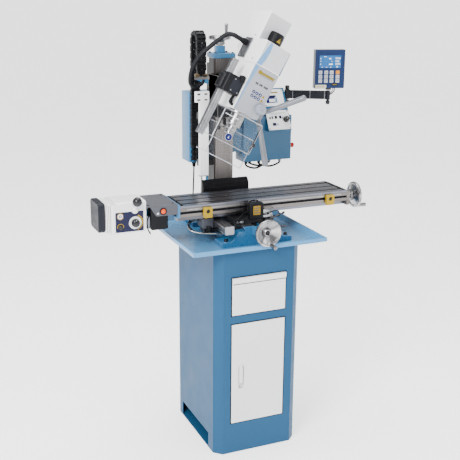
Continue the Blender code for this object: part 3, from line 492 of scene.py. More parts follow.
def flat_print(name, c, rough=0.42):
    """Printed film on a label."""
    s = Mat(name).set(Coat_Weight=0.05, Coat_Roughness=0.2, Specular_IOR_Level=0.25)
    col = s.mix(s.ramp(s.noise(50.0, 4), 0.3, 0.7), shade(c, 0.92), shade(c, 1.05))
    col = s.mix(s.math("MULTIPLY", s.ramp(s.noise(300.0, 3), 0.62, 0.8), 0.25), col, shade(c, 0.7))
    s.bump(s.noise(600.0, 2), 0.05, 0.0002)
    return s.done(col, s.ramp(s.noise(40.0, 3), 0.3, 0.7, rough - 0.06, rough + 0.08))


def clear(name, c, alpha, rough=0.08):
    """Clear moulded sheet with haze, wiping marks and a few scratches."""
    s = Mat(name).set(Specular_IOR_Level=0.35, Coat_Weight=0.1, Coat_Roughness=0.05)
    smear = s.ramp(s.noise(9.0, 5, 0.6, s.mapped((1, 1, 0.35))), 0.35, 0.75)
    scratch = s.ramp(s.noise(1.0, 2, 0.5, s.mapped((420, 30, 60))), 0.70, 0.78)
    a = s.math("ADD", s.ramp(smear, 0.0, 1.0, alpha * 0.75, alpha * 1.30), s.math("MULTIPLY", scratch, 0.006))
    s.link(a, s.b.inputs["Alpha"])
    col = s.mix(smear, shade(c, 0.92), c)
    s.bump(s.noise(40.0, 3), 0.03, 0.0006)
    return s.done(col, s.ramp(smear, 0, 1, rough - 0.03, rough + 0.10))


BLUE = (0.075, 0.235, 0.380)
LIGHT_BLUE = (0.185, 0.390, 0.590)
m_cab = paint("cabinet_blue", (0.0125, 0.066, 0.144), 0.44, coat=0.0, spec=0.13)
m_blue = paint("box_blue", (0.010, 0.082, 0.172), 0.38)
m_lblue = paint("light_blue", (0.028, 0.138, 0.280), 0.34, coat=0.3)
m_tray = paint("tray_blue", (0.062, 0.225, 0.430), 0.24, peel=0.05, coat=0.35)
m_cast = cast("cast_blue", (0.021, 0.112, 0.240), 0.30)
m_white = paint("white_enamel", (0.80, 0.805, 0.82), 0.36, dirt=0.25, coat=0.25)
m_front = paint("door_white", (0.70, 0.705, 0.725), 0.38, dirt=0.25)
# shaded copy of the white enamel: painted shade for front faces that turn away from the light
m_front_shade = paint("shaded_white", (0.47, 0.475, 0.495), 0.36, dirt=0.2, coat=0.2)
m_grip = brushed("grip_steel", (0.24, 0.24, 0.25), (0.15, 0.15, 0.16), 0.26, "z", stain=0.1)
m_panel = paint("panel_grey", (0.27, 0.28, 0.31), 0.36, dirt=0.2, coat=0.2)
m_stripe = flat_print("stripe_blue", (0.11, 0.25, 0.45))
m_ground = brushed("ground_table", (0.200, 0.210, 0.250), (0.125, 0.115, 0.115), 0.27, "x")
m_edge = brushed("milled_edge", (0.22, 0.20, 0.19), (0.13, 0.115, 0.105), 0.28, "x")
m_col = brushed("ground_column", (0.19, 0.175, 0.168), (0.125, 0.112, 0.105), 0.30, "z")
m_carr = brushed("ground_carriage", (0.20, 0.19, 0.18), (0.14, 0.13, 0.125), 0.40, "z", metallic=0.25)
# darker copy of the column's ground steel: painted shade and painted dark reflection for the column's side faces
m_side_shade = brushed("column_shaded_side", (0.020, 0.0185, 0.018), (0.012, 0.011, 0.0105), 0.42, "z", metallic=0.4)
m_dark = cast("dark_casting", (0.006, 0.0065, 0.008), 0.45, coat=0.05)
m_steel = brushed("bright_steel", (0.34, 0.34, 0.345), (0.24, 0.24, 0.245), 0.22, "z", stain=0.1)
m_alu = brushed("extruded_aluminium", (0.38, 0.385, 0.40), (0.28, 0.285, 0.30), 0.30, "z", stain=0.08)
m_aluy = brushed("scale_aluminium", (0.38, 0.385, 0.405), (0.26, 0.265, 0.285), 0.30, "y", stain=0.1)
m_grey = plastic("dark_grey_cover", (0.0065, 0.0078, 0.013), 0.46, lift=0.03, spec=0.2)
m_plate = paint("grey_plate", (0.050, 0.052, 0.064), 0.42)
m_black = plastic("black_plastic", (0.0035, 0.0038, 0.0050), 0.46, lift=0.018, spec=0.16)
m_knob = plastic("knob_black", (0.006, 0.0064, 0.0080), 0.28, grain=0.08, coat=0.5, lift=0.02)
m_rubber = plastic("rubber", (0.0030, 0.0030, 0.0038), 0.55, grain=0.35, scale=400, lift=0.012, spec=0.14)
m_hose = plastic("hose_rubber", (0.0055, 0.0060, 0.0080), 0.46, grain=0.2, lift=0.018, spec=0.18)
m_chain = plastic("chain_plastic", (0.0040, 0.0042, 0.0055), 0.50, lift=0.016, spec=0.16)
m_handle = paint("handle_grey", (0.128, 0.138, 0.158), 0.32, dirt=0.3, coat=0.3)
m_dome = paint("dome_grey", (0.205, 0.225, 0.275), 0.33, dirt=0.15, coat=0.4)
m_yellow = paint("stop_yellow", (0.33, 0.215, 0.0), 0.40, dirt=0.1, coat=0.0)
m_orange = plastic("orange_button", (0.60, 0.062, 0.006), 0.34, grain=0.05, coat=0.15)
m_red = plastic("red_button", (0.36, 0.003, 0.004), 0.34, grain=0.05, coat=0.15)
m_navy = flat_print("navy_print", (0.002, 0.003, 0.028))
m_dro = flat_print("display_blue", (0.0006, 0.0125, 0.062), 0.45)
m_screen = flat_print("screen_blue", (0.010, 0.100, 0.290), 0.30)
m_pwhite = flat_print("print_white", (0.72, 0.73, 0.75))
m_pyel = flat_print("print_yellow", (0.30, 0.19, 0.0))
m_pgold = flat_print("print_gold", (0.19, 0.135, 0.0))
m_pblack = flat_print("print_black", (0.007, 0.007, 0.008))
m_pblue = flat_print("print_blue", (0.0006, 0.006, 0.080))
m_okey = plastic("orange_key", (0.50, 0.19, 0.004), 0.36, grain=0.05)
m_key = plastic("key_grey", (0.36, 0.375, 0.41), 0.40, grain=0.1)
m_brass = turned("brass", (0.40, 0.29, 0.17), (0, 0, 0), (1, 0, 0), 0.28)
m_armour = brushed("armour_steel", (0.42, 0.41, 0.39), (0.30, 0.29, 0.27), 0.26, "x", stain=0.2)
m_clear = clear("clear_sheet", (0.34, 0.36, 0.40), 0.022)
m_clear2 = clear("clear_sheet_inner", (0.34, 0.36, 0.40), 0.026)
# whitish edge material for the clear sheets: partly the sheets' cut edges, partly painted highlight along edges and
# bends
m_cedge_glint = clear("clear_edge_highlight", (0.80, 0.82, 0.86), 0.50, 0.2)
m_screw = brushed("screw_black", (0.035, 0.035, 0.038), (0.018, 0.018, 0.02), 0.35, "z")
m_label = flat_print("label_amber", (0.25, 0.145, 0.0))

# CAD nodes that keep showing take a detailed material too
KEEP = {
    "y_leadscrew": m_steel, "x_leadscrew": m_steel, "z_leadscrew": m_steel, "quill": m_steel, "spindle": m_steel,
    "spindle_motor": m_dark, "control_box_bracket": m_blue, "saddle": m_dark,
}
FALLBACK = {
    "cabinet_shell": m_cab, "drawer": m_front, "door_panel": m_front, "door_handle": m_front, "chip_tray": m_tray,
    "base_casting": m_cast, "y_bearing_housing": m_cast, "column": m_col, "column_top_plate": m_lblue,
    "z_scale_cover": m_white, "way_cover": m_rubber, "limit_block": m_black, "y_scale_bar": m_aluy,
    "y_reading_head": m_grey, "armoured_cable": m_armour, "y_handwheel": m_alu, "table": m_ground,
    "table_left_plate": m_lblue, "table_right_bracket": m_edge, "x_handwheel": m_alu, "table_stop_left": m_yellow,
    "table_stop_right": m_yellow, "feed_housing": m_white, "feed_end_cap": m_grey, "feed_cover_plate": m_plate,
    "feed_switch_box": m_black, "feed_button": m_orange, "feed_speed_knob": m_knob, "feed_lever": m_knob,
    "z_carriage": m_carr, "z_handwheel": m_alu, "drag_chain": m_chain, "rear_electrical_box": m_lblue,
    "box_gland": m_black, "machine_lead": m_rubber, "control_box": m_blue, "console": m_blue, "dro_arm": m_grey,
    "dro_display": m_plate, "speed_dial": m_knob, "stop_button": m_red, "head_body": m_white, "spindle_cap": m_black,
    "motor_cover": m_white, "hose_plate": m_plate, "head_hose": m_hose, "guard_rail": m_alu, "guard_switch": m_black,
    "guard_shield": m_clear, "guard_slider": m_clear2, "feed_clutch_knob": m_dome, "quill_capstan": m_handle,
}
for table_ in (FALLBACK, KEEP):
    for nm, mt in table_.items():
        NODES[nm].data.materials.clear()
        NODES[nm].data.materials.append(mt)

def octagon(x, y, c):
    return [(-x + c, -y), (x - c, -y), (x, -y + c), (x, y - c), (x - c, y), (-x + c, y), (-x, y - c), (-x, -y + c)]


def bolt(p, axis, r, h, mat, body, name, socket=True, M=None):
    """Socket-head or dome-head screw standing on a face at p."""
    a = Vector(axis).normalized()
    if socket:
        prof = [(0, h * 0.45), (r * 0.50, h * 0.45), (r * 0.52, h), (r * 0.88, h), (r, h * 0.86), (r, 0), (0, 0)]
    else:
        prof = [(0, h), (r * 0.45, h * 0.93), (r * 0.80, h * 0.66), (r, h * 0.25), (r, 0), (0, 0)]
    me = lathe(prof, p, a, 20)
    if not socket:
        side = a.orthogonal().normalized()
        q = a.cross(side)
        c = Vector(p) + a * h
        slot_ = box((-r * 0.62, -r * 0.12, -h * 0.35), (r * 0.62, r * 0.12, h * 0.3))
        slot_.transform(Matrix.Translation(c) @ Matrix((side, q, a)).transposed().to_4x4())
        me = carve(me, slot_)
    return piece(name, me, mat, body, M=M, angle=40)


CHAIN = []
# ------------------------------------------------------------- floor cabinet
t = 0.0030
shell = prism(octagon(CAB_X, CAB_Y, CAB_CH), 0.0, CAB_H, "XY")
shell = carve(shell, prism(octagon(CAB_X - t, CAB_Y - t, CAB_CH - 0.4 * t), 0.004, CAB_H - 0.004, "XY"),
              box((-0.125, -CAB_Y - 0.01, 0.643), (0.124, -CAB_Y + 0.01, 0.811)),
              box((-0.125, -CAB_Y - 0.01, 0.144), (0.124, -CAB_Y + 0.01, 0.604)),
              box((-CAB_X - 0.01, -0.153, 0.0045), (CAB_X + 0.01, 0.169, 0.070)),
              box((-CAB_X - 0.01, 0.1180, -0.01), (-0.1300, 0.1225, 0.0100)),
              box((-CAB_X - 0.01, -0.1370, -0.01), (-0.1300, -0.1325, 0.0100)),
              box((0.1300, 0.1180, -0.01), (CAB_X + 0.01, 0.1225, 0.0100)),
              box((0.1300, -0.1370, -0.01), (CAB_X + 0.01, -0.1325, 0.0100)))
piece("cabinet", shell, m_cab, "stand", ["cabinet_shell"], bevel=0.0016, seg=3, angle=40)
# folded return flanges behind the door and drawer openings
for nm, z0, z1 in (("drawer_opening_fold", 0.643, 0.811), ("door_opening_fold", 0.144, 0.604)):
    ring = carve(box((-0.1290, -0.2368, z0 - 0.004), (0.1280, -0.2250, z1 + 0.004)),
                 box((-0.1252, -0.2400, z0 - 0.0002), (0.1242, -0.2200, z1 + 0.0002)))
    piece(nm, ring, m_cab, "stand", bevel=0.0006, seg=2)
    seal = carve(box((-0.1280, -0.2406, z0 - 0.0030), (0.1270, -0.2385, z1 + 0.0030)), box((-0.1240, -0.2420, z0 + 0.0010), (0.1227, -0.2370, z1 - 0.0010)))
    piece(nm + "_seal", seal, m_rubber, "stand")

# drawer: rolled finger lip over a flat front, folded box behind
f = -CAB_Y
lip = [(f - 0.0030, 0.6445), (f - 0.0030, 0.7790), (f - 0.0034, 0.7830), (f - 0.0042, 0.7862), (f - 0.0058, 0.7884), (f - 0.0072, 0.7900),
       (f - 0.0083, 0.7922), (f - 0.0086, 0.7950), (f - 0.0086, 0.8045), (f - 0.0081, 0.8074), (f - 0.0068, 0.8090), (f - 0.0052, 0.8095),
       (f + 0.0012, 0.8095), (f + 0.0012, 0.8070), (f - 0.0040, 0.8070), (f - 0.0052, 0.8062), (f - 0.0061, 0.8040), (f - 0.0061, 0.7958),
       (f - 0.0055, 0.7938), (f - 0.0040, 0.7918), (f - 0.0022, 0.7900), (f - 0.0012, 0.7860), (f - 0.0005, 0.7820), (f - 0.0005, 0.6445)]
front = prism(lip, -0.1233, 0.1223, "YZ")
piece("drawer_front", front, m_front, "drawer", ["drawer"], bevel=0.0004, seg=2, angle=30, bev_angle=50)
for i, x in enumerate((-0.1235, 0.1215)):
    end = prism([(f - 0.0030, 0.7850), (f - 0.0058, 0.7886), (f - 0.0081, 0.7924), (f - 0.0084, 0.8050), (f - 0.0060, 0.8093), (f + 0.0010, 0.8093), (f + 0.0010, 0.7850)],
                x, x + 0.0020, "YZ")
    piece("drawer_lip_end_%d" % i, end, m_front, "drawer", bevel=0.0005, seg=2)
# grey strip just under the finger lip: painted shade beneath the lip
piece("drawer_lip_shade_strip", box((-0.1205, f - 0.0036, 0.7800), (0.1195, f - 0.0026, 0.7862)), m_grey, "drawer", bevel=0.0003, seg=1)
tub = carve(box((-0.1130, f - 0.0004, 0.6600), (0.1120, 0.1700, 0.7850)), box((-0.1112, f + 0.0014, 0.6618), (0.1102, 0.1682, 0.8000)))
piece("drawer_tub", tub, m_front, "drawer", bevel=0.0008, seg=2)
for i, (x0, x1, s_) in enumerate(((-0.1300, -0.1145, -1), (0.1135, 0.1290, 1))):
    xo, xi = (x0, x1) if s_ < 0 else (x1, x0)
    prof = [(xo, 0.6900), (xi, 0.6900), (xi, 0.6960), (xi - s_ * -0.0015, 0.6960), (xi - s_ * -0.0015, 0.6915), (xo - s_ * 0.0015, 0.6915),
            (xo - s_ * 0.0015, 0.7185), (xi - s_ * -0.0015, 0.7185), (xi - s_ * -0.0015, 0.7140), (xi, 0.7140), (xi, 0.7200), (xo, 0.7200)]
    piece("drawer_runner_%d" % i, prism(prof, -0.2320, 0.1700, "XZ"), m_steel, "stand")

# door: folded pan with a recessed oval grip, on a hinge rod at its right edge
dx0, dx1, dz0, dz1 = -0.1235, 0.1220, 0.1455, 0.6025
pan = carve(prism(rounded(dx0, dz0, dx1, dz1, 0.0012, 2), f - 0.0030, f + 0.0110, "XZ"),
            box((dx0 + 0.0015, f - 0.0014, dz0 + 0.0015), (dx1 - 0.0015, f + 0.02, dz1 - 0.0015)),
            prism(rounded(-0.0945, 0.3025, -0.0635, 0.4155, 0.0154, 8), f - 0.01, f + 0.02, "XZ"))
piece("door_pan", pan, m_front, "door", ["door_panel"], bevel=0.0009, seg=3, angle=40)
grip = prism(rounded(-0.0960, 0.3010, -0.0620, 0.4170, 0.0169, 8), f - 0.0052, f + 0.0108, "XZ")
grip = carve(grip, prism(rounded(-0.0922, 0.3048, -0.0658, 0.4132, 0.0131, 8), f - 0.0100, f + 0.0092, "XZ"))
piece("door_grip", grip, m_front, "door", ["door_handle"], bevel=0.0012, seg=3, angle=40)
tab = prism(rounded(-0.0880, 0.3300, -0.0712, 0.4120, 0.0060, 5), f - 0.0030, f + 0.0094, "XZ")
piece("door_grip_tab", tab, m_front, "door", bevel=0.0015, seg=3)
piece("door_hinge_rod", cyl((0.1160, -0.2380, 0.1480), (0.1160, -0.2380, 0.6000), 0.0022, steps=16), m_steel, "door")

# ----------------------------------------------------------------- chip tray
def tray_mesh(rings):
    bm = bmesh.new()
    rows = []
    for d, z in rings:
        rows.append([bm.verts.new(v) for v in ((-TRAY_X + d, TRAY_Y0 + d, z), (TRAY_X - d, TRAY_Y0 + d, z), (TRAY_X - d, TRAY_Y1 - d, z), (-TRAY_X + d, TRAY_Y1 - d, z))])
    for a, b in zip(rows, rows[1:]):
        for i in range(4):
            j = (i + 1) % 4
            bm.faces.new((a[i], a[j], b[j], b[i]))
    bm.faces.new(rows[0])
    bm.faces.new(rows[-1])
    outward(bm)
    return to_mesh(bm)


R_ = TRAY_RIM
tray = tray_mesh([(0.0275, TRAY_FLOOR), (0.0255, TRAY_FLOOR + 0.0006), (0.0240, TRAY_FLOOR + 0.0024), (0.0096, R_ - 0.0022), (0.0084, R_ - 0.0007), (0.0068, R_), (0.0016, R_),
                  (0.0005, R_ - 0.0005), (0.0, R_ - 0.0018), (0.0, R_ - 0.0170), (0.0018, R_ - 0.0170), (0.0020, R_ - 0.0024), (0.0072, R_ - 0.0024), (0.0245, CAB_H + GAP)])
piece("tray", tray, m_tray, "stand", ["chip_tray"], bevel=0.0, angle=50)
for i, (x, y) in enumerate(((-0.25, -0.22), (0.25, -0.22), (0.25, 0.29), (-0.25, 0.29))):
    bolt((x, y, TRAY_FLOOR), (0, 0, 1), 0.0060, 0.0030, m_screw, "stand", "tray_screw_%d" % i, socket=False)
piece("tray_drain", lathe([(0.0060, 0.0006), (0.0110, 0.0022), (0.0125, 0.0016), (0.0130, 0.0), (0.0060, 0.0), (0.0060, 0.0006)], (0.245, 0.03, TRAY_FLOOR), (0, 0, 1), 28), m_steel, "stand")

# ------------------------------------------------------- base casting, column
zf = TRAY_FLOOR + GAP
half = [(0.160, zf), (0.160, zf + 0.0180), (0.1580, zf + 0.0200), (0.1230, zf + 0.0212), (0.1160, zf + 0.0240), (0.0880, WAY_Z0 - 0.0030), (0.0850, WAY_Z0),
        (0.0580, WAY_Z0), (0.0680, WAY_Z1), (0.0150, WAY_Z1), (0.0150, YS_Z - 0.0100)]
sect = [(XM + x, z) for x, z in half] + [(XM - x, z) for x, z in reversed(half)]
base = prism(sect, BASE_Y0, BASE_Y1, "XZ")
base = carve(base, box((XM - 0.2, COL_FRONT - 0.012, WAY_Z0), (XM + 0.2, BASE_Y1 + 0.01, WAY_Z1 + 0.02)),
             prism(rounded(XM - 0.190, -0.090, XM - 0.122, 0.170, 0.030, 8), zf - 0.01, zf + 0.050, "XY"),
             prism(rounded(XM + 0.122, -0.090, XM + 0.190, 0.170, 0.030, 8), zf - 0.01, zf + 0.050, "XY"))
piece("base", base, m_cast, "stand", ["base_casting"], bevel=0.0022, seg=3, angle=35)
for i, s_ in enumerate((-1, 1)):
    way = prism([(XM + s_ * 0.0590, WAY_Z0 + 0.0015), (XM + s_ * 0.0683, WAY_Z1 - 0.0007), (XM + s_ * 0.0683, WAY_Z1 + 0.00015), (XM + s_ * 0.0152, WAY_Z1 + 0.00015), (XM + s_ * 0.0152, WAY_Z1 - 0.0007)],
                BASE_Y0 + 0.0010, COL_FRONT - 0.0130, "XZ")
    piece("y_way_%d" % i, way, m_aluy, "stand")
for i, (x, y) in enumerate(((-0.138, -0.158), (0.138, -0.158), (-0.138, 0.262), (0.138, 0.262))):
    piece("foot_boss_%d" % i, lathe([(0, 0.0030), (0.0130, 0.0030), (0.0145, 0.0010), (0.0150, 0), (0, 0)], (XM + x, y, zf + 0.0195), (0, 0, 1), 28), m_cast, "stand")
    bolt((XM + x, y, zf + 0.0225), (0, 0, 1), 0.0080, 0.0095, m_screw, "stand", "foot_bolt_%d" % i)

hs = prism([(XM - 0.0280, 0.9700), (XM + 0.0280, 0.9700), (XM + 0.0280, 0.9990), (XM + 0.0262, 1.0030), (XM + 0.0225, 1.0054), (XM - 0.0225, 1.0054), (XM - 0.0262, 1.0030), (XM - 0.0280, 0.9990)],
           -0.2140, BASE_Y0 - GAP, "XZ")
hs = carve(hs, cyl((XM, -0.23, YS_Z), (XM, -0.17, YS_Z), 0.0054))
piece("housing", hs, m_cast, "stand", ["y_bearing_housing"], bevel=0.0020, seg=3)
for i, (dx, dz) in enumerate(((-0.0200, -0.0200), (0.0200, -0.0200))):
    bolt((XM + dx, -0.2140, YS_Z + dz), (0, -1, 0), 0.0042, 0.0030, m_screw, "stand", "housing_screw_%d" % i)

zb = WAY_Z0 + GAP
h = [(-COL_HALF, COL_FRONT), (COL_HALF, COL_FRONT), (0.0340, 0.2050), (0.0340, 0.2100), (COL_HALF, 0.2100), (COL_HALF, COL_BACK), (0.0270, COL_BACK), (0.0270, 0.2240),
     (-0.0270, 0.2240), (-0.0270, COL_BACK), (-COL_HALF, COL_BACK), (-COL_HALF, 0.2102), (-0.0340, 0.2102), (-0.0340, 0.2050)]
col = prism([(XM + x, y) for x, y in h], zb + 0.0120, COL_TOP, "XY")
foot = box((XM - 0.075, COL_FRONT - 0.008, zb), (XM + 0.075, BASE_Y1 - 0.006, zb + 0.030))
col = carve(union(col, foot), box((XM - 0.0080, 0.17, 1.3650), (XM + 0.0080, 0.23, 1.6000)))
piece("column_post", col, m_col, "stand", ["column"], bevel=0.0008, seg=2, angle=35)
for i, (x, y) in enumerate(((-0.062, 0.20), (0.062, 0.20), (-0.062, 0.275), (0.062, 0.275))):
    bolt((XM + x, y, zb + 0.030), (0, 0, 1), 0.0070, 0.0080, m_screw, "stand", "column_bolt_%d" % i)
# soft steel way strips bolted on the column's front
piece("column_way_strip", prism([(XM + 0.0150, COL_FRONT - 0.0006), (XM + 0.0405, COL_FRONT - 0.0006), (XM + 0.0405, COL_FRONT + 0.0001), (XM + 0.0150, COL_FRONT + 0.0001)], 1.0300, COL_TOP - 0.002, "XY"), m_col, "stand")

# the spacer behind the column and the column's side skins take the darker copy of the steel: painted shade on faces
# turned away from the light
piece("rear_box_spacer", box((XM - COL_HALF, 0.2713, 1.0330), (XM + COL_HALF, 0.2976, 1.6400)), m_side_shade, "stand", bevel=0.0010, seg=2)
for i, x in enumerate((XM - COL_HALF - 0.0006, XM + COL_HALF - 0.0001)):
    piece("column_side_%d" % i, box((x, 0.2112, 1.0200), (x + 0.0007, 0.2700, COL_TOP - 0.0010)), m_side_shade, "stand")
top = box((XM - 0.0500, 0.1860, COL_TOP + GAP), (XM + 0.0500, 0.2760, 1.6860))
piece("top_plate", carve(top, cyl((*ZS, 1.6), (*ZS, 1.8), 0.0065)), m_lblue, "stand", ["column_top_plate"], bevel=0.0025, seg=3)
hd = carve(prism(rounded(XM - 0.0210, 0.2300, XM + 0.0210, 0.2660, 0.0060, 5), 1.6858, 1.7150, "XY"), cyl((*ZS, 1.6), (*ZS, 1.8), 0.0065))
piece("top_bearing_block", hd, m_lblue, "stand", bevel=0.0015, seg=3)
for i, (x, y) in enumerate(((-0.040, 0.196), (0.040, 0.196), (-0.040, 0.266), (0.040, 0.266))):
    bolt((XM + x, y, 1.6860), (0, 0, 1), 0.0050, 0.0045, m_screw, "stand", "top_screw_%d" % i)

# Z scale cover: extruded aluminium channel in white with an end cap and its bracket plate
cv = prism(rounded(-0.1000, 0.1835, -0.0570, 0.2020, 0.0040, 5), 1.1540, 1.5270, "XY")
cv = carve(cv, box((-0.0900, 0.1800, 1.1600), (-0.0870, 0.1850, 1.4700)))
piece("scale_cover", cv, m_white, "stand", ["z_scale_cover"], bevel=0.0006, seg=2)
piece("scale_cover_end", prism(rounded(-0.1015, 0.1820, -0.0555, 0.2035, 0.0040, 5), 1.1490, 1.1540, "XY"), m_panel, "stand", bevel=0.0008, seg=2)
for i, z0 in enumerate((1.190, 1.400)):
    piece("scale_bracket_%d" % i, union(box((-0.0950, 0.2010, z0), (-0.0600, 0.2350, z0 + 0.030)), box((-0.0620, 0.2105, z0 + 0.002), (XM - COL_HALF - GAP, 0.2330, z0 + 0.028))),
          m_dark, "stand", bevel=0.001, seg=2)
bp = union(prism(rounded(-0.1180, 1.4800, -0.0560, 1.5270, 0.0025, 3), 0.1815, 0.1850, "XZ"), box((-0.1180, 0.1820, 1.4800), (-0.1030, 0.1990, 1.5270)))
piece("scale_bracket_plate", bp, m_white, "stand", bevel=0.0008, seg=2)
for i, (x, z) in enumerate(((-0.1050, 1.4905), (-0.1050, 1.5150), (-0.0720, 1.4905), (-0.0720, 1.5150))):
    piece("scale_slot_%d" % i, prism(rounded(x - 0.0075, z - 0.0034, x + 0.0075, z + 0.0034, 0.0033, 5), 0.1811, 0.1819, "XZ"), m_pblack, "stand")
    bolt((x + 0.0015, 0.1811, z), (0, -1, 0), 0.0030, 0.0016, m_screw, "stand", "scale_screw_%d" % i)
piece("scale_conduit", sweep(even(spline([(-0.0880, 0.1930, 1.1500), (-0.0880, 0.1930, 1.1000), (-0.0900, 0.1960, 1.0500), (-0.0920, 0.2100, 1.0050), (-0.0900, 0.2400, 0.9750), (-0.0860, 0.2600, 0.9620)], 40), 0.004), 0.0042, 14,
                              radius=lambda i: 0.0042 if i % 2 else 0.0037), m_armour, "stand")
piece("scale_cover_tab", prism(rounded(-0.0700, 1.1180, -0.0590, 1.1500, 0.0020, 3), 0.1880, 0.1910, "XZ"), m_lblue, "stand", bevel=0.0005, seg=2)

# rubber way cover: ribbed apron with end pieces
arc = []
for i in range(15):
    a = math.radians(90 * i / 14)
    k = 0.0008 * math.cos(i * math.pi)
    arc.append((COL_FRONT - 0.0010 - (0.0262 + k) * math.sin(a), 1.1000 + (0.0312 + k) * math.cos(a)))
for i in range(6):
    arc.append((arc[14][0] + 0.0008 * (i % 2), 1.0960 - 0.0070 * i))
inn = [(y + 0.0026 * math.sin(math.radians(min(90, 90 * i / 14))), z - 0.0026 * math.cos(math.radians(min(90, 90 * i / 14)))) for i, (y, z) in enumerate(arc)]
piece("way_apron", prism(arc + inn[::-1], XM - 0.112, XM + 0.110, "YZ"), m_rubber, "stand", ["way_cover"], bevel=0.0003, seg=1, angle=50)
for i, x in enumerate((XM - 0.1118, XM + 0.1075)):
    piece("apron_end_%d" % i, prism([(COL_FRONT - 0.0012, 1.1285)] + [(y + 0.001, z - 0.001) for y, z in arc[1:]] + [(COL_FRONT - 0.0012, 1.0600)], x, x + 0.0022, "YZ"), m_rubber, "stand")

# -------------------------------------------------------------- saddle and Y
sd = [(XM - 0.0920, 0.9858), (XM - 0.0585, 0.9858), (XM - 0.0685, 1.0065), (XM + 0.0685, 1.0065), (XM + 0.0585, 0.9858), (XM + 0.0920, 0.9858), (XM + 0.0920, 1.0295), (XM - 0.0920, 1.0295)]
piece("saddle_front_lip", prism(rounded(XM - 0.0900, 1.0085, XM + 0.0900, 1.0280, 0.0030, 4), -0.1352, -0.1338, "XZ"), m_dark, "saddle", bevel=0.0005, seg=2)
for i, x in enumerate((-0.070, -0.045, 0.060, 0.082)):
    bolt((XM + x, -0.1352, 1.0180), (0, -1, 0), 0.0040, 0.0030, m_screw if i % 2 else m_steel, "saddle", "saddle_screw_%d" % i)
# gib adjusting screws and lock levers on the saddle's left and front
for i, y in enumerate((-0.095, -0.045, 0.035, 0.085)):
    piece("gib_nut_%d" % i, lathe([(0, 0.0090), (0.0022, 0.0088), (0.0024, 0.0050), (0.0052, 0.0050), (0.0055, 0.0045), (0.0055, 0.0), (0, 0)], (XM + 0.0920, y, 1.0180), (1, 0, 0), 6), m_steel, "saddle", angle=30)


def lock_lever(name, p, axis, arm, body, L=0.045):
    a, d = Vector(axis).normalized(), Vector(arm).normalized()
    p = Vector(p)
    hub = lathe([(0, 0.0180), (0.0055, 0.0175), (0.0065, 0.0150), (0.0065, 0.0), (0, 0)], p, a, 20)
    bar = cyl(p + a * 0.0120, p + a * 0.0160 + d * L, 0.0034, 0.0028, 16)
    tip = lathe([(0, 0.0130), (0.0040, 0.0115), (0.0058, 0.0070), (0.0052, 0.0015), (0.0030, 0), (0, 0)], p + a * 0.0160 + d * (L - 0.003), d, 20)
    piece(name, join(hub, bar, tip), m_knob, body)


lock_lever("saddle_lock_lever", (0.0880, -0.1345, 1.0190), (0, -1, 0), (0.80, -0.25, 0.42), "saddle", 0.060)
lock_lever("gib_lock_lever", (0.0700, -0.1345, 1.0190), (0, -1, 0), (0.55, -0.2, -0.30), "saddle", 0.030)

# limit switch box on the saddle's front, with a plain amber label and a roller
lb = prism([(-0.1343, 1.0250), (-0.1343, 1.0330), (-0.1170, 1.0480), (-0.1170, 1.0890), (-0.1215, 1.0952), (-0.1490, 1.0960), (-0.1540, 1.0905), (-0.1540, 1.0290), (-0.1500, 1.0250)], -0.0060, 0.0560, "YZ")
piece("limit_box", lb, m_black, "saddle", ["limit_block"], bevel=0.0028, seg=4)
piece("limit_label", prism(rounded(0.0080, 1.0460, 0.0410, 1.0845, 0.0015, 3), -0.1544, -0.1536, "XZ"), m_label, "saddle", bevel=0.0002, seg=1)
for i in range(3):
    piece("limit_label_text_%d" % i, prism(rounded(0.0110, 1.0525 + 0.0105 * i, 0.0390 - 0.006 * (i % 2), 1.0562 + 0.0105 * i, 0.0010, 2), -0.1547, -0.1543, "XZ"), m_plate, "saddle")
for i, x in enumerate((0.0075, 0.0425)):
    piece("limit_roller_%d" % i, lathe([(0, 0.0060), (0.0060, 0.0055), (0.0065, 0.0045), (0.0065, 0.0015), (0.0060, 0.0), (0, 0)], (x, -0.1170, 1.0957), (0, 1, 0), 24), m_steel, "saddle")
piece("switch_bracket", prism([(0.0565, 1.0270), (0.1050, 1.0270), (0.1060, 1.0380), (0.0930, 1.0560), (0.0700, 1.0620), (0.0565, 1.0620)], -0.1400, -0.1345, "XZ"), m_alu, "saddle", bevel=0.001, seg=2)
bolt((0.0820, -0.1400, 1.0420), (0, -1, 0), 0.0045, 0.0030, m_screw, "saddle", "switch_bracket_screw")
wires = [[(0.0560, -0.1450, 1.0400), (0.0800, -0.1480, 1.0440), (0.1060, -0.1420, 1.0520), (0.1350, -0.1300, 1.0470), (0.1500, -0.1150, 1.0200), (0.1300, -0.1000, 1.0180), (0.1122, -0.0950, 1.0200)],
         [(-0.0062, -0.1450, 1.0400), (-0.0200, -0.1480, 1.0380), (-0.0350, -0.1450, 1.0260), (-0.0500, -0.1400, 1.0220), (-0.0650, -0.1360, 1.0200)],
         [(-0.0062, -0.1400, 1.0600), (-0.0300, -0.1420, 1.0560), (-0.0480, -0.1400, 1.0400), (-0.0700, -0.1365, 1.0240)]]
for i, w in enumerate(wires):
    piece("saddle_wire_%d" % i, sweep(even(spline(w, 40), 0.003), 0.0022, 10), m_rubber, "saddle")
# pipe fittings and oiler on the saddle's front left
piece("oiler", lathe([(0, 0.0120), (0.0040, 0.0112), (0.0060, 0.0085), (0.0060, 0.0050), (0.0080, 0.0045), (0.0080, 0.0), (0, 0)], (-0.0380, -0.1352, 1.0170), (0, -1, 0), 24), m_alu, "saddle")
piece("oiler_cap", lathe([(0, 0.0100), (0.0045, 0.0095), (0.0050, 0.0085), (0.0050, 0.0), (0, 0)], (-0.0580, -0.1352, 1.0185), (0, -1, 0), 6), m_steel, "saddle")

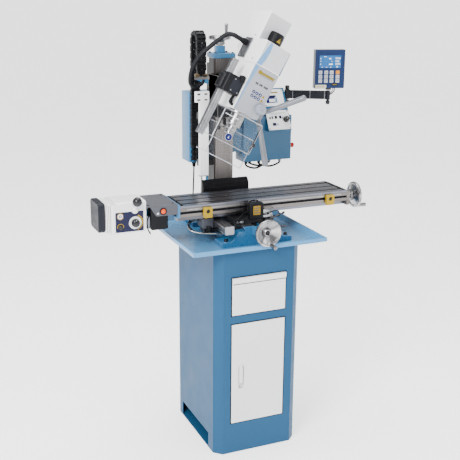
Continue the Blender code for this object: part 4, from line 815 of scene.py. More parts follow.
# Y scale: extruded bar with an end cap, reading head on the base, armoured cable
bar = prism(rounded(-0.1390, 0.9850, -0.0980, 1.0205, 0.0030, 4), -0.1980, 0.1280, "XZ")
bar = carve(bar, box((-0.1400, -0.1900, 0.9960), (-0.1375, 0.1200, 0.9990)), box((-0.1300, -0.1900, 1.0192), (-0.1275, 0.1200, 1.0220)), box((-0.1100, -0.1900, 1.0192), (-0.1075, 0.1200, 1.0220)))
piece("scale_bar", bar, m_aluy, "saddle", ["y_scale_bar"], bevel=0.0004, seg=2)
piece("scale_bar_cap", prism(rounded(-0.1386, 0.9854, -0.0984, 1.0201, 0.0050, 5), -0.2000, -0.1978, "XZ"), m_panel, "saddle", bevel=0.0007, seg=2)
for i, y0 in enumerate((-0.1100, 0.0600)):
    piece("scale_arm_%d" % i, box((-0.0985, y0, 0.9950), (XM - 0.0920 - GAP, y0 + 0.0300, 1.0120)), m_dark, "saddle", bevel=0.0012, seg=2)
    bolt((-0.0850, y0 + 0.015, 1.0120), (0, 0, 1), 0.0040, 0.0035, m_screw, "saddle", "scale_arm_screw_%d" % i)
rh = prism(rounded(-0.1860, 0.9850, -0.1405, 1.0280, 0.0035, 4), -0.0750, -0.0100, "XZ")
rh = carve(rh, box((-0.1900, -0.0680, 1.0050), (-0.1845, -0.0170, 1.0085)))
piece("reading_head", rh, m_plate, "stand", ["y_reading_head"], bevel=0.0020, seg=3)
def shoulder(z):
    return XM - 0.1170 + (z - 0.9450) * 0.8
hb = prism([(-0.1800, 0.9870), (-0.1800, 0.9640), (shoulder(0.9640) - 0.0005, 0.9640), (shoulder(0.9790) - 0.0005, 0.9790), (-0.1420, 0.9790), (-0.1420, 0.9870)], -0.0700, -0.0200, "XZ")
piece("reading_head_stand", hb, m_dark, "stand", bevel=0.0015, seg=2)
piece("reading_head_post", lathe([(0, 0.0250), (0.0110, 0.0250), (0.0120, 0.0235), (0.0120, 0.0030), (0.0140, 0.0), (0, 0)], (-0.1630, -0.0820, 0.9700), (0, 0, 1), 28), m_black, "stand")
for i, (y, z) in enumerate(((-0.0640, 0.9930), (-0.0220, 0.9930), (-0.0640, 1.0200), (-0.0220, 1.0200))):
    bolt((-0.1860, y, z), (-1, 0, 0), 0.0030, 0.0018, m_steel, "stand", "reading_head_screw_%d" % i, socket=False)
ac = [(-0.1864, -0.0180, 1.0120), (-0.2000, -0.0180, 1.0120), (-0.2280, -0.0280, 1.0060), (-0.2460, -0.0520, 0.9950), (-0.2400, -0.0820, 0.9840),
      (-0.2100, -0.1020, 0.9760), (-0.1700, -0.1100, 0.9720), (-0.1300, -0.1120, 0.9680), (shoulder(0.9590) - 0.0020, -0.1120, 0.9640)]
piece("armoured_cable_coil", sweep(even(spline(ac, 160), 0.0011), 0.0040, 12, radius=lambda i: (0.0040, 0.00385, 0.0034)[i % 3]), m_armour, "stand", ["armoured_cable"], angle=80)
piece("armour_ferrule", lathe([(0, 0.0140), (0.0045, 0.0140), (0.0058, 0.0120), (0.0058, 0.0), (0, 0)], (-0.1858, -0.0180, 1.0120), (-1, 0, 0), 24), m_steel, "stand")
# black loop of the switch cable lying behind the armoured one
piece("head_cable_loop", sweep(even(spline([(-0.1500, -0.0080, 1.0180), (-0.1560, 0.0050, 1.0190), (-0.1850, 0.0120, 1.0150), (-0.2150, 0.0060, 1.0050), (-0.2300, -0.0150, 0.9930),
                                            (-0.2250, -0.0600, 0.9780), (-0.1950, -0.0850, 0.9680), (-0.1500, -0.0860, 0.9620), (-0.1100, -0.0800, 0.9580), (-0.0920, -0.0780, 0.9570)], 90), 0.003), 0.0026, 10), m_rubber, "stand")


# ---------------------------------------------------------------- handwheels
def handwheel(tag, centre, axis, R, grip_dir, back, reach, body, node, mat_w, tip_r=0.0092):
    a = Vector(axis).normalized()
    c = Vector(centre)
    g = Vector(grip_dir).normalized()
    col = {"y": 0.0285, "x": 0.0262, "z": 0.0240}[tag]
    prof = [(0.0, -0.0060), (0.0095, -0.0060), (0.0100, -0.0050), (0.0132, -0.0050), (0.0145, -0.0062), (0.0150, -0.0110), (0.0165, -0.0125),
            (R * 0.40, -0.0075), (R * 0.58, -0.0018), (R * 0.72, 0.0026), (R * 0.79, 0.0048), (R * 0.82, 0.0068), (R * 0.86, 0.0077), (R * 0.91, 0.0078),
            (R * 0.955, 0.0066), (R * 0.985, 0.0040), (R, 0.0005), (R * 0.995, -0.0035), (R * 0.97, -0.0066), (R * 0.92, -0.0083), (R * 0.85, -0.0080),
            (R * 0.79, -0.0050), (R * 0.60, -0.0105), (0.0210, -0.0165), (0.0210, -0.0175), (col - 0.0008, -0.0176), (col, -0.0184), (col, -0.0292), (col - 0.0010, -0.0300),
            (0.0165, -0.0302), (0.0165, -back), (0.0, -back)]
    piece(tag + "_wheel", lathe(prof, c, a, 72), mat_w, body, [node] if node else (), angle=28)
    # rib from the hub to the handle boss
    p = c + g * (R - 0.009)
    q = a.cross(g)
    rib = cyl(c + g * 0.0120 - a * 0.0075, p - g * 0.004 + a * 0.0050, 0.0050, 0.0064, 20)
    piece(tag + "_rib", rib, mat_w, body)
    boss = lathe([(0, 0.0105), (0.0070, 0.0105), (0.0086, 0.0085), (0.0088, 0.0), (0, 0)], p - a * 0.0005, a, 28)
    piece(tag + "_boss", boss, mat_w, body)
    gr = [(0, reach - 0.0008), (tip_r * 0.55, reach - 0.0008), (tip_r * 0.62, reach), (tip_r * 0.86, reach - 0.0008), (tip_r, reach - 0.0035), (tip_r * 0.98, reach * 0.80), (tip_r * 0.88, reach * 0.5),
          (tip_r * 0.80, reach * 0.24), (tip_r * 0.84, reach * 0.12), (tip_r * 0.78, reach * 0.05), (tip_r * 0.60, 0.0), (0, 0)]
    piece(tag + "_grip", lathe(gr, p + a * 0.0110, a, 32), m_grip, body)
    piece(tag + "_hub_ring", lathe([(0.0058, -0.0044), (0.0098, -0.0044), (0.0100, -0.0050), (0.0100, -0.0060), (0.0058, -0.0060), (0.0058, -0.0044)], c, a, 32), m_black, body)
    bolt(c - a * 0.0062, a, 0.0056, 0.0048, m_screw, body, tag + "_centre_screw")
    # graduations round the collar
    marks = []
    for i in range(50):
        L = 0.0085 if i % 10 == 0 else (0.0065 if i % 5 == 0 else 0.0045)
        m = box((-0.00022, -0.0001, 0.0), (0.00022, 0.00016, L))
        m.transform(Matrix.Rotation(2 * math.pi * i / 50, 4, "Z") @ Matrix.Translation((0, -col, 0)))
        marks.append(m)
    mk = join(*marks)
    mk.transform(Matrix.Translation(c + a * -0.0288) @ a.to_track_quat("Z", "Y").to_matrix().to_4x4())
    piece(tag + "_dial_marks", mk, m_pblack, body)


m_yw = turned("wheel_y_alu", (0.44, 0.44, 0.452), (XM, YW_Y, YS_Z), (0, 1, 0), 0.26)
m_xw = turned("wheel_x_alu", (0.44, 0.44, 0.452), (0.59, 0, XS_Z), (1, 0, 0), 0.26)
m_zw = turned("wheel_z_alu", (0.42, 0.42, 0.43), (ZS[0], ZS[1], 1.75), (0, 0, 1), 0.28)
handwheel("y", (XM, YW_Y, YS_Z), (0, -1, 0), 0.0578, (0.15, 0, -1), 0.0585, 0.0462, "y_feed", "y_handwheel", m_yw)
handwheel("x", (0.5900, 0, XS_Z), (1, 0, 0), 0.0598, (0, -0.25, -1), 0.0505, 0.0445, "x_feed", "x_handwheel", m_xw)
handwheel("z", (ZS[0], ZS[1], 1.7500), (0, 0, 1), 0.0498, (0.36, -0.93, 0), 0.0325, 0.0502, "z_feed", "z_handwheel", m_zw, 0.0080)

# ------------------------------------------------------------ table and X
def tslot(y):
    z = TAB_TOP
    return [(y - 0.0060, z), (y - 0.0060, z - 0.0090), (y - 0.0100, z - 0.0090), (y - 0.0100, z - 0.0160),
            (y + 0.0100, z - 0.0160), (y + 0.0100, z - 0.0090), (y + 0.0060, z - 0.0090), (y + 0.0060, z)]


def table_profile(gutter=0.0):
    p = [(TAB_Y0, TAB_UNDER), (TAB_Y0, 1.0655), (TAB_Y0 + 0.0025, 1.0655), (TAB_Y0 + 0.0025, 1.0640), (TAB_Y0 + 0.0085, 1.0640), (TAB_Y0 + 0.0085, 1.0770), (TAB_Y0 + 0.0025, 1.0770), (TAB_Y0 + 0.0025, 1.0755), (TAB_Y0, 1.0755),
         (TAB_Y0, 1.0890), (TAB_Y0 + 0.0010, 1.0900), (TAB_Y0 + 0.0010, TAB_TOP - 0.0015), (TAB_Y0 + 0.0025, TAB_TOP)]
    for yc in (-0.0625, -0.0025, 0.0575):
        p += tslot(yc)
    p += [(TAB_Y1 - 0.0010, TAB_TOP), (TAB_Y1, TAB_TOP - 0.0010), (TAB_Y1, TAB_UNDER), (0.0700, TAB_UNDER), (0.0700, TAB_BLOCK), (0.0339, TAB_BLOCK), (0.0448, 1.0570), (-0.0448, 1.0570), (-0.0339, TAB_BLOCK),
          (-0.0700, TAB_BLOCK), (-0.0700, TAB_UNDER)]
    return p


tb = prism(table_profile(), TAB_X0, TAB_X1, "YZ")
# coolant gutters across both ends
tb = carve(tb, box((TAB_X0 + 0.0060, TAB_Y0 + 0.010, TAB_TOP - 0.0070), (TAB_X0 + 0.0180, TAB_Y1 - 0.010, TAB_TOP + 0.01)),
           box((TAB_X1 - 0.0180, TAB_Y0 + 0.010, TAB_TOP - 0.0070), (TAB_X1 - 0.0060, TAB_Y1 - 0.010, TAB_TOP + 0.01)))
piece("table_casting", tb, m_ground, "table", ["table"], bevel=0.0006, seg=2, angle=35)
for i, (y0, y1) in enumerate(((TAB_Y0 + 0.0030, -0.0690), (-0.0560, -0.0090), (0.0040, 0.0510), (0.0640, TAB_Y1 - 0.0015))):
    piece("table_land_%d" % i, box((TAB_X0 + 0.0195, y0, TAB_TOP - 0.0003), (TAB_X1 - 0.0195, y1, TAB_TOP + 0.00003)), m_ground, "table")
for i, yc in enumerate((-0.0625, -0.0025, 0.0575)):
    piece("slot_floor_%d" % i, box((TAB_X0 + 0.001, yc - 0.0098, TAB_TOP - 0.0161), (TAB_X1 - 0.001, yc + 0.0098, TAB_TOP - 0.0156)), m_dark, "table")
piece("table_edge_face", box((TAB_X0 + 0.001, TAB_Y0 - 0.0002, 1.0762), (TAB_X1 - 0.001, TAB_Y0 + 0.0002, 1.0886)), m_edge, "table")
piece("table_edge_face_low", box((TAB_X0 + 0.001, TAB_Y0 - 0.0002, 1.0528), (TAB_X1 - 0.001, TAB_Y0 + 0.0002, 1.0648)), m_edge, "table")
piece("groove_floor", box((TAB_X0 + 0.001, TAB_Y0 + 0.0080, 1.0650), (TAB_X1 - 0.001, TAB_Y0 + 0.0086, 1.0760)), m_black, "table")
piece("table_rule", box((TAB_X0 + 0.030, TAB_Y0 - 0.0004, 1.0805), (TAB_X1 - 0.030, TAB_Y0 + 0.0001, 1.0850)), m_alu, "table")
tk = []
for i in range(141):
    x = TAB_X0 + 0.034 + i * 0.005
    L = 0.0040 if i % 10 == 0 else (0.0030 if i % 5 == 0 else 0.0020)
    tk.append(box((x - 0.0002, TAB_Y0 - 0.00055, 1.0848 - L), (x + 0.0002, TAB_Y0 - 0.0003, 1.0848)))
piece("table_rule_marks", join(*tk), m_pblack, "table")

# stops: yellow blocks with a T-bolt, each sliding along the front groove
for tag, x0, x1, node, body in (("left", -0.198, -0.160, "table_stop_left", "stop_left"), ("right", 0.381, 0.419, "table_stop_right", "stop_right")):
    xc = (x0 + x1) / 2
    st = carve(prism(rounded(x0, 1.0425, x1, 1.0875, 0.0050, 5), -0.1150, -0.1006, "XZ"), cyl((xc, -0.120, 1.0705), (xc, -0.1080, 1.0705), 0.0088, steps=28))
    piece("stop_%s_block" % tag, st, m_yellow, body, [node], bevel=0.0010, seg=3)
    bolt((xc, -0.1080, 1.0705), (0, -1, 0), 0.0068, 0.0050, m_screw, body, "stop_%s_bolt" % tag)

# end plate and end block at the left; bracket and bearing boss at the right
lp = carve(box((-0.3100, TAB_Y0 + 0.0005, 1.0500), (-0.2984, TAB_Y1 - 0.0005, 1.1050)), cyl((-0.32, 0, XS_Z), (-0.29, 0, XS_Z), 0.0066))
piece("end_plate_left", lp, m_lblue, "table", ["table_left_plate"], bevel=0.0022, seg=3)
lb2 = carve(box((-0.4438, -0.0600, 1.0312), (-0.3098, 0.0600, 1.0898)), cyl((-0.46, 0, XS_Z), (-0.29, 0, XS_Z), 0.0066))
piece("end_block_left", lb2, m_lblue, "table", bevel=0.0020, seg=3)
for i, (y, z) in enumerate(((-0.080, 1.094), (0.080, 1.094), (-0.080, 1.062), (0.080, 1.062))):
    bolt((-0.3100, y, z), (-1, 0, 0), 0.0050, 0.0040, m_screw, "table", "end_plate_screw_%d" % i)
rb = box((0.4904, TAB_Y0 + 0.0005, 1.0300), (0.5080, TAB_Y1 - 0.0005, 1.0940))
rb = carve(rb, cyl((0.48, 0, XS_Z), (0.52, 0, XS_Z), 0.0070))
piece("end_bracket_right", rb, m_edge, "table", ["table_right_bracket"], bevel=0.0040, seg=4)
piece("bearing_boss", lathe([(0.0070, 0.0300), (0.0150, 0.0300), (0.0168, 0.0288), (0.0172, 0.0270), (0.0182, 0.0080), (0.0200, 0.0), (0.0070, 0.0), (0.0070, 0.0300)], (0.5080, 0, XS_Z), (1, 0, 0), 40), m_edge, "table")
for i, y in enumerate((-0.072, 0.072)):
    bolt((0.5080, y, 1.0560), (1, 0, 0), 0.0060, 0.0050, m_screw, "table", "bracket_screw_%d" % i)

# ----------------------------------------------------------- power feed drive
FH = (-0.5900, -0.1000, 1.0080, -0.4446, 0.0300, 1.1380)
hsn = prism(rounded(FH[1], FH[2], FH[4], FH[5], 0.0100, 6), FH[0], FH[3], "YZ")
grooves = [box((-0.5870 + 0.0045 * k, -0.11, 1.13), (-0.5850 + 0.0045 * k, 0.04, 1.14)) for k in range(4)]
hsn = carve(hsn, *grooves)
piece("feed_case", hsn, m_white, "table", ["feed_housing"], bevel=0.0014, seg=3, angle=35)
mt_ = prism(rounded(-0.0880, 1.0200, 0.0280, 1.1340, 0.0120, 6), -0.6128, -0.5895, "YZ")
piece("feed_motor_flange", mt_, m_white, "table", bevel=0.0012, seg=3)
for k in range(3):
    x = -0.6105 + 0.0068 * k
    piece("feed_rib_%d" % k, prism(rounded(-0.0960, 1.0140, 0.0294, 1.1374, 0.0110, 6), x, x + 0.0036, "YZ"), m_white, "table", bevel=0.0010, seg=3)
ec = prism([(-0.098, 1.030), (-0.088, 1.020), (0.020, 1.020), (0.030, 1.030), (0.030, 1.130), (0.020, 1.140), (-0.088, 1.140), (-0.098, 1.130)], -0.6420, -0.6136, "YZ")
piece("feed_cap", ec, m_grey, "table", ["feed_end_cap"], bevel=0.0048, seg=5)
for i, (y, z) in enumerate(((-0.084, 1.034), (0.016, 1.034), (-0.084, 1.126), (0.016, 1.126))):
    piece("cap_screw_%d" % i, lathe([(0.0, 0.0003), (0.0046, 0.0003), (0.0050, 0.0), (0.0, 0.0)], (-0.6416, y + (0.007 if y < 0 else -0.007), z + (0.007 if z < 1.08 else -0.007)), (-1, 0, 0), 20), m_screw, "table")
fp = prism(rounded(-0.5820, 1.0145, -0.4540, 1.1315, 0.0060, 5), FH[1] - 0.0016, FH[1] + 0.0010, "XZ")
piece("feed_front_panel", fp, m_front, "table", bevel=0.0006, seg=2)
pn = prism(rounded(-0.5740, 1.0170, -0.4570, 1.1000, 0.0040, 4), FH[1] - 0.0022, FH[1] - 0.0014, "XZ")
piece("feed_print", pn, m_navy, "table")
FPY = FH[1] - 0.0024


def disc(name, x, z, r0, r1, y, mat, body, a0=0.0, a1=360.0, th=0.0004, n=40):
    """Flat ring or arc printed on a front face, angles from +X towards +Z."""
    full = a1 - a0 >= 360
    k = max(4, int(n * (a1 - a0) / 360))
    bm = bmesh.new()
    rows = []
    for i in range(k if full else k + 1):
        a = math.radians(a0 + (a1 - a0) * i / k)
        rows.append([bm.verts.new((x + r * math.cos(a), yy, z + r * math.sin(a))) for r, yy in ((r0, y), (r1, y), (r1, y + th), (r0, y + th))])
    m = len(rows)
    for i in range(m if full else m - 1):
        a, b = rows[i], rows[(i + 1) % m]
        for j in range(4):
            bm.faces.new((a[j], a[(j + 1) % 4], b[(j + 1) % 4], b[j]))
    if not full:
        bm.faces.new(rows[0])
        bm.faces.new(rows[-1])
    bmesh.ops.recalc_face_normals(bm, faces=bm.faces)
    me = to_mesh(bm)
    if r0 < 1e-6:
        me = lathe([(0, th), (r1, th), (r1, 0), (0, 0)], (x, y + th, z), (0, -1, 0), n)
    return piece(name, me, mat, body)


disc("dial_ring", -0.492, 1.052, 0.0150, 0.0262, FPY, m_pwhite, "table")
for k in range(8):
    disc("dial_arc_%d" % k, -0.492, 1.052, 0.0278, 0.0318 + 0.0005 * k, FPY, m_pyel, "table", -72 + 18 * k, -72 + 18 * k + 14.5)
disc("icon_top", -0.5535, 1.0830, 0.0, 0.0105, FPY, m_front, "table")
disc("icon_top_arc", -0.5535, 1.0830, 0.0120, 0.0140, FPY, m_pyel, "table", 20, 340)
disc("icon_top_mark", -0.5535, 1.0830, 0.0030, 0.0060, FPY - 0.0004, m_navy, "table")
disc("icon_low_arc", -0.5535, 1.0390, 0.0115, 0.0140, FPY, m_pyel, "table", -20, 200)
piece("feed_side_knob", lathe([(0, 0.0090), (0.0070, 0.0090), (0.0090, 0.0070), (0.0095, 0.0), (0, 0)], (-0.5535, FPY, 1.0390), (0, -1, 0), 30), m_knob, "table")
piece("feed_speed_dome", lathe([(0, 0.0210), (0.0070, 0.0205), (0.0125, 0.0180), (0.0155, 0.0140), (0.0168, 0.0080), (0.0175, 0.0012), (0.0170, 0.0), (0, 0)], (-0.492, -0.1026, 1.052), (0, -1, 0), 40), m_knob, "feed_speed_knob", ["feed_speed_knob"])
piece("speed_dome_mark", box((-0.4930, -0.1212, 1.0590), (-0.4910, -0.1170, 1.0655)), m_pwhite, "feed_speed_knob")
LV = Vector((-0.492, -0.1003, 1.102))
lk = LV + Vector((0.002, -0.029, 0.042))
ld = (lk - LV).normalized()
piece("lever_boot", lathe([(0, 0.0095), (0.0080, 0.0085), (0.0115, 0.0055), (0.0130, 0.0010), (0.0130, 0.0), (0, 0)], LV + Vector((0, -0.0012, 0)), (0, -1, 0), 32), m_front, "table")
piece("lever_stem", cyl(LV + ld * 0.004, LV + ld * 0.040, 0.0052, 0.0040, 20), m_front, "feed_lever")
piece("lever_knob", lathe([(0, 0.0195), (0.0080, 0.0180), (0.0145, 0.0135), (0.0185, 0.0060), (0.0195, -0.0010), (0.0175, -0.0090), (0.0120, -0.0150), (0.0070, -0.0180), (0, -0.0185)], lk, ld, 40), m_knob, "feed_lever", ["feed_lever"])

cvp = prism([(-0.4440, -0.1035), (-0.3105, -0.1035), (-0.3105, 0.0945), (-0.4440, 0.0945)], 1.1091, 1.1120, "XY")
piece("feed_bridge_plate", cvp, m_plate, "table", ["feed_cover_plate"], bevel=0.0007, seg=2)
fl = prism([(-0.4302, 1.1115), (-0.3108, 1.1115), (-0.3108, 1.0700), (-0.3130, 1.0682), (-0.3990, 1.0682), (-0.4040, 1.0700)], -0.1036, -0.1014, "XZ")
fl = carve(fl, cyl((-0.373, -0.1100, 1.088), (-0.373, -0.0950, 1.088), 0.0111, steps=40))
piece("feed_bridge_flange", fl, m_plate, "table", bevel=0.0006, seg=2)
disc("bridge_mark", -0.3960, 1.0800, 0.0, 0.0042, -0.1041, m_pwhite, "table")
for i, (x, y) in enumerate(((-0.432, -0.080), (-0.432, 0.070), (-0.324, -0.080), (-0.324, 0.070))):
    bolt((x, y, 1.1119), (0, 0, 1), 0.0050, 0.0022, m_screw, "table", "bridge_screw_%d" % i, socket=False)
sb = carve(prism(rounded(-0.4250, 1.0112, -0.3520, 1.1036, 0.0060, 5), -0.1010, -0.0622, "XZ"))
sb = carve(sb, cyl((-0.373, -0.1100, 1.088), (-0.373, -0.0970, 1.088), 0.0111, steps=40))
piece("switch_case", sb, m_black, "table", ["feed_switch_box"], bevel=0.0018, seg=3, angle=30)
piece("button_bezel", lathe([(0.0112, 0.0030), (0.0140, 0.0028), (0.0150, 0.0010), (0.0150, 0.0), (0.0112, 0.0), (0.0112, 0.0030)], (-0.373, -0.1036, 1.088), (0, -1, 0), 36), m_black, "table")
piece("orange_dome", lathe([(0, 0.0095), (0.0050, 0.0088), (0.0090, 0.0060), (0.0108, 0.0010), (0.0108, -0.0020), (0, -0.0020)], (-0.373, -0.1046, 1.088), (0, -1, 0), 36), m_orange, "feed_button", ["feed_button"])
piece("coupler", lathe([(0, 0.0520), (0.0070, 0.0515), (0.0105, 0.0490), (0.0118, 0.0420), (0.0120, 0.0300), (0.0118, 0.0060), (0.0100, 0.0015), (0, 0.0)], (-0.4372, -0.0890, 1.0190), (0, 0, 1), 32), m_dome, "table")
piece("coupler_lead", sweep(even(spline([(-0.4300, -0.0980, 1.0720), (-0.4380, -0.1060, 1.0700), (-0.4440, -0.1080, 1.0540), (-0.4440, -0.1080, 1.0340), (-0.4390, -0.1070, 1.0160), (-0.4330, -0.1050, 1.0060)], 40), 0.003), 0.0028, 12), m_rubber, "table")
piece("coupler_plug", cyl((-0.4335, -0.1052, 1.0080), (-0.4300, -0.1040, 0.9990), 0.0036, 0.0030, 16), m_rubber, "table")

# -------------------------------------------------------- carriage, Z drive
cr = box((XM - 0.0680, 0.1050, 1.4200), (XM + 0.0680, 0.2083, 1.6000))
cr = carve(cr, prism([(XM - 0.0430, 0.1893), (XM + 0.0430, 0.1893), (XM + 0.0348, 0.2090), (XM - 0.0348, 0.2090)], 1.41, 1.61, "XY"), box((XM - 0.0440, 0.2060, 1.41), (XM + 0.0440, 0.22, 1.61)))
piece("carriage_casting", cr, m_carr, "carriage", bevel=0.0018, seg=3)
piece("tilt_face", lathe([(0, 0.0064), (0.0575, 0.0064), (0.0598, 0.0045), (0.0600, 0.0), (0, 0)], (XM, 0.1054, 1.5100), (0, -1, 0), 64), m_carr, "carriage")
for i, a in enumerate((35, 145, 215, 325)):
    a = math.radians(a)
    bolt((XM + 0.060 * math.cos(a), 0.1050, 1.5100 + 0.078 * math.sin(a)), (0, -1, 0), 0.0075, 0.0050, m_screw, "carriage", "tilt_bolt_%d" % i)
for i, z in enumerate((1.440, 1.480, 1.540, 1.580)):
    piece("z_gib_screw_%d" % i, lathe([(0, 0.0085), (0.0024, 0.0083), (0.0026, 0.0050), (0.0055, 0.0050), (0.0058, 0.0), (0, 0)], (XM + 0.0680, 0.1980, z), (1, 0, 0), 6), m_steel, "carriage", angle=30)
am = box((-0.1080, 0.2122, 1.5752), (-0.0450, 0.2258, 1.5888))
piece("chain_arm", am, m_lblue, "carriage", bevel=0.0012, seg=2)
am2 = prism([(-0.1080, 1.5752), (-0.0470, 1.5752), (-0.0470, 1.5550), (-0.0560, 1.5550)], 0.2140, 0.2170, "XZ")
piece("chain_arm_web", am2, m_lblue, "carriage", bevel=0.0008, seg=2)
for i, x in enumerate((-0.1110, -0.0750)):
    g = lathe([(0.0040, 0.0200), (0.0062, 0.0200), (0.0070, 0.0180), (0.0070, 0.0120), (0.0090, 0.0115), (0.0090, 0.0060), (0.0070, 0.0055), (0.0070, 0.0), (0.0040, 0.0), (0.0040, 0.0200)], (x, 0.2125, 1.5940), (1, 0, 0), 6 if i else 24)
    piece("brass_gland_%d" % i, g, m_brass, "carriage", angle=30)
tag_ = prism(rounded(-0.0440, 1.5690, 0.0100, 1.5920, 0.0030, 4), 0.1000, 0.1050, "XZ")
piece("carriage_plate", tag_, m_dark, "carriage", bevel=0.0008, seg=2)


# ------------------------------------------------------- drag chain and hose
def chain_path():
    """Centre line of the chain: up the back, over the top and down the front."""
    yf, yb, zt = 0.2060 + 0.0095, 0.2960 - 0.0095, 1.7830
    r = (yb - yf) / 2
    top = zt - 0.0095 - r
    pts = [(yb, 1.2650 + 0.004 * i) for i in range(int((top - 1.2650) / 0.004))]
    pts += [((yf + yb) / 2 + r * math.cos(a), top + r * math.sin(a)) for a in [math.pi * i / 30 for i in range(31)]]
    z = top - 0.004
    while z > 1.5940:
        pts.append((yf, z))
        z -= 0.004
    return [Vector((-0.081, y, z)) for y, z in pts]


cp_ = even(chain_path(), 0.0005)
pitch_n = 32  # samples between link pins, 16 mm
n_links = (len(cp_) - 1) // pitch_n
for i in range(n_links):
    a, b = cp_[i * pitch_n], cp_[min(len(cp_) - 1, (i + 1) * pitch_n)]
    d = (b - a).normalized()
    nrm = Vector((1, 0, 0)).cross(d)
    M = Matrix.Translation((a + b) / 2) @ Matrix((Vector((1, 0, 0)), d, nrm)).transposed().to_4x4()
    L = (b - a).length / 2
    w = 0.0205 if i % 2 else 0.0180
    parts = []
    for s_ in (-1, 1):
        pl = prism([(-L - 0.0048, -0.0088), (-L - 0.0075, -0.0050), (-L - 0.0075, 0.0050), (-L - 0.0048, 0.0088), (L - 0.0004, 0.0093), (L + 0.0040, 0.0064), (L + 0.0040, -0.0064), (L - 0.0004, -0.0093)],
                   s_ * w - 0.0012, s_ * w + 0.0012, "YZ")
        parts.append(pl)
        parts.append(lathe([(0, 0.0008), (0.0036, 0.0008), (0.0042, 0.0), (0, 0)], (s_ * (w + 0.0012 * s_ * s_), -L, 0), (s_, 0, 0), 16))
    for zz in (-0.0083, 0.0083):
        parts.append(box((-w, -0.0058, zz - 0.0011), (w, 0.0058, zz + 0.0011)))
        parts.append(box((-0.0030, -0.0078, zz - 0.0012), (0.0030, 0.0078, zz + 0.0012)))
    me = join(*parts)
    me.transform(M)
    CHAIN.append(me)
links = piece("chain_links", join(*CHAIN), m_chain, None, ["drag_chain"], angle=30)
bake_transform(links)
for i, (y, z) in enumerate(((0.2155, 1.5915), (0.2865, 1.2640))):
    piece("chain_end_%d" % i, prism(rounded(-0.1010, y - 0.0090, -0.0610, y + 0.0090, 0.0020, 3), z - 0.0015 if i == 0 else z - 0.0035, z + 0.0100, "XY"), m_chain, "carriage" if i == 0 else "stand", bevel=0.0008, seg=2)
# cables seen inside the chain
inner = even([Vector((-0.081, p.y, p.z)) for p in cp_], 0.006)
runs = [sweep([Vector((-0.081 + dx, p.y, p.z)) for p in inner], 0.0038, 10) for dx in (-0.010, 0.0, 0.010)]
inside = piece("chain_cables", join(*runs), m_rubber, None)
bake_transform(inside)

out1 = HM @ Vector((-0.1150, 0.060, 0.2150))
h_end = HM @ Vector((-0.0888, 0.060, 0.2150))
hp = [(-0.07, .222, 1.5735), (-0.0715, .2215, 1.564), (-0.082, .2190, 1.5540), (-0.105, .2165, 1.547), (-0.130, .2060, 1.5555), (-0.141, .190, 1.585), (-0.137, .172, 1.63), (-0.115, .15, 1.68),
      (-0.078, .12, 1.7225), (-0.044, .097, 1.7540), (-0.016, .080, 1.7745), (out1.x - .017, out1.y + .006, out1.z + .0095), tuple(out1), tuple(h_end)]
hpath = even(spline(hp, 260), 0.0011)
hose = sweep(hpath, 0.0100, 18, radius=lambda i: (0.0100, 0.0099, 0.0094, 0.0094)[i % 4])
HOSE = piece("head_hose_ribbed", hose, m_hose, None, ["head_hose"], angle=80)
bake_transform(HOSE)

# ------------------------------------------------- electrical boxes, console
rbx = prism(rounded(-0.1060, 0.2985, 0.0900, 0.3955, 0.0022, 3), 1.1920, 1.5080, "XY")
piece("rear_box", rbx, m_lblue, "stand", ["rear_electrical_box"], bevel=0.0016, seg=3)
lid = prism(rounded(-0.1020, 1.1960, 0.0860, 1.5040, 0.0020, 3), 0.2979, 0.2990, "XZ")
piece("rear_box_lid", lid, m_lblue, "stand", bevel=0.0004, seg=2)
for i, (x, z) in enumerate(((-0.095, 1.203), (0.079, 1.203), (-0.095, 1.497), (0.079, 1.497))):
    bolt((x, 0.2980, z), (0, -1, 0), 0.0040, 0.0018, m_screw, "stand", "rear_box_screw_%d" % i, socket=False)
for i, z in enumerate((1.240, 1.2150)):
    piece("rear_gland_%d" % i, lathe([(0.0060, 0.0170), (0.0105, 0.0170), (0.0125, 0.0150), (0.0125, 0.0080), (0.0150, 0.0075), (0.0150, 0.0), (0.0060, 0.0), (0.0060, 0.0170)], (-0.0830, 0.2980, z), (0, -1, 0), 28), m_black, "stand")
    piece("rear_gland_lead_%d" % i, sweep(even(spline([(-0.0830, 0.2980, z), (-0.0830, 0.2790, z), (-0.0800, 0.2680, z + 0.014), (-0.0790, 0.2700, z + 0.034), (-0.0790, 0.2850, z + 0.042), (-0.0790, 0.2985, z + 0.040)], 40), 0.003), 0.0042, 12), m_rubber, "stand")
gl = lathe([(0.0036, 0.0268), (0.0060, 0.0268), (0.0075, 0.0240), (0.0085, 0.0170), (0.0085, 0.0120), (0.0110, 0.0115), (0.0110, 0.0), (0.0036, 0.0), (0.0036, 0.0268)], (-0.0720, 0.3300, 1.1910), (0, 0, -1), 28)
piece("gland_body", gl, m_black, "stand", ["box_gland"])
gn = lathe([(0.0110, 0.0060), (0.0122, 0.0050), (0.0122, 0.0010), (0.0110, 0.0), (0.0090, 0.0), (0.0090, 0.0060), (0.0110, 0.0060)], (-0.0720, 0.3300, 1.1905), (0, 0, -1), 6)
piece("gland_nut", gn, m_black, "stand", angle=30)
ml = [(-0.0720, 0.3300, 1.1637), (-0.0740, 0.3320, 1.0800), (-0.0760, 0.3330, 1.0150), (-0.0720, 0.3300, 0.9780), (-0.0640, 0.3190, 0.9630), (-0.0545, 0.3060, 0.9600), (-0.0535, 0.2958, 0.9600)]
piece("machine_lead_run", sweep(even(spline(ml, 90), 0.003), 0.0035, 12), m_rubber, "stand", ["machine_lead"])

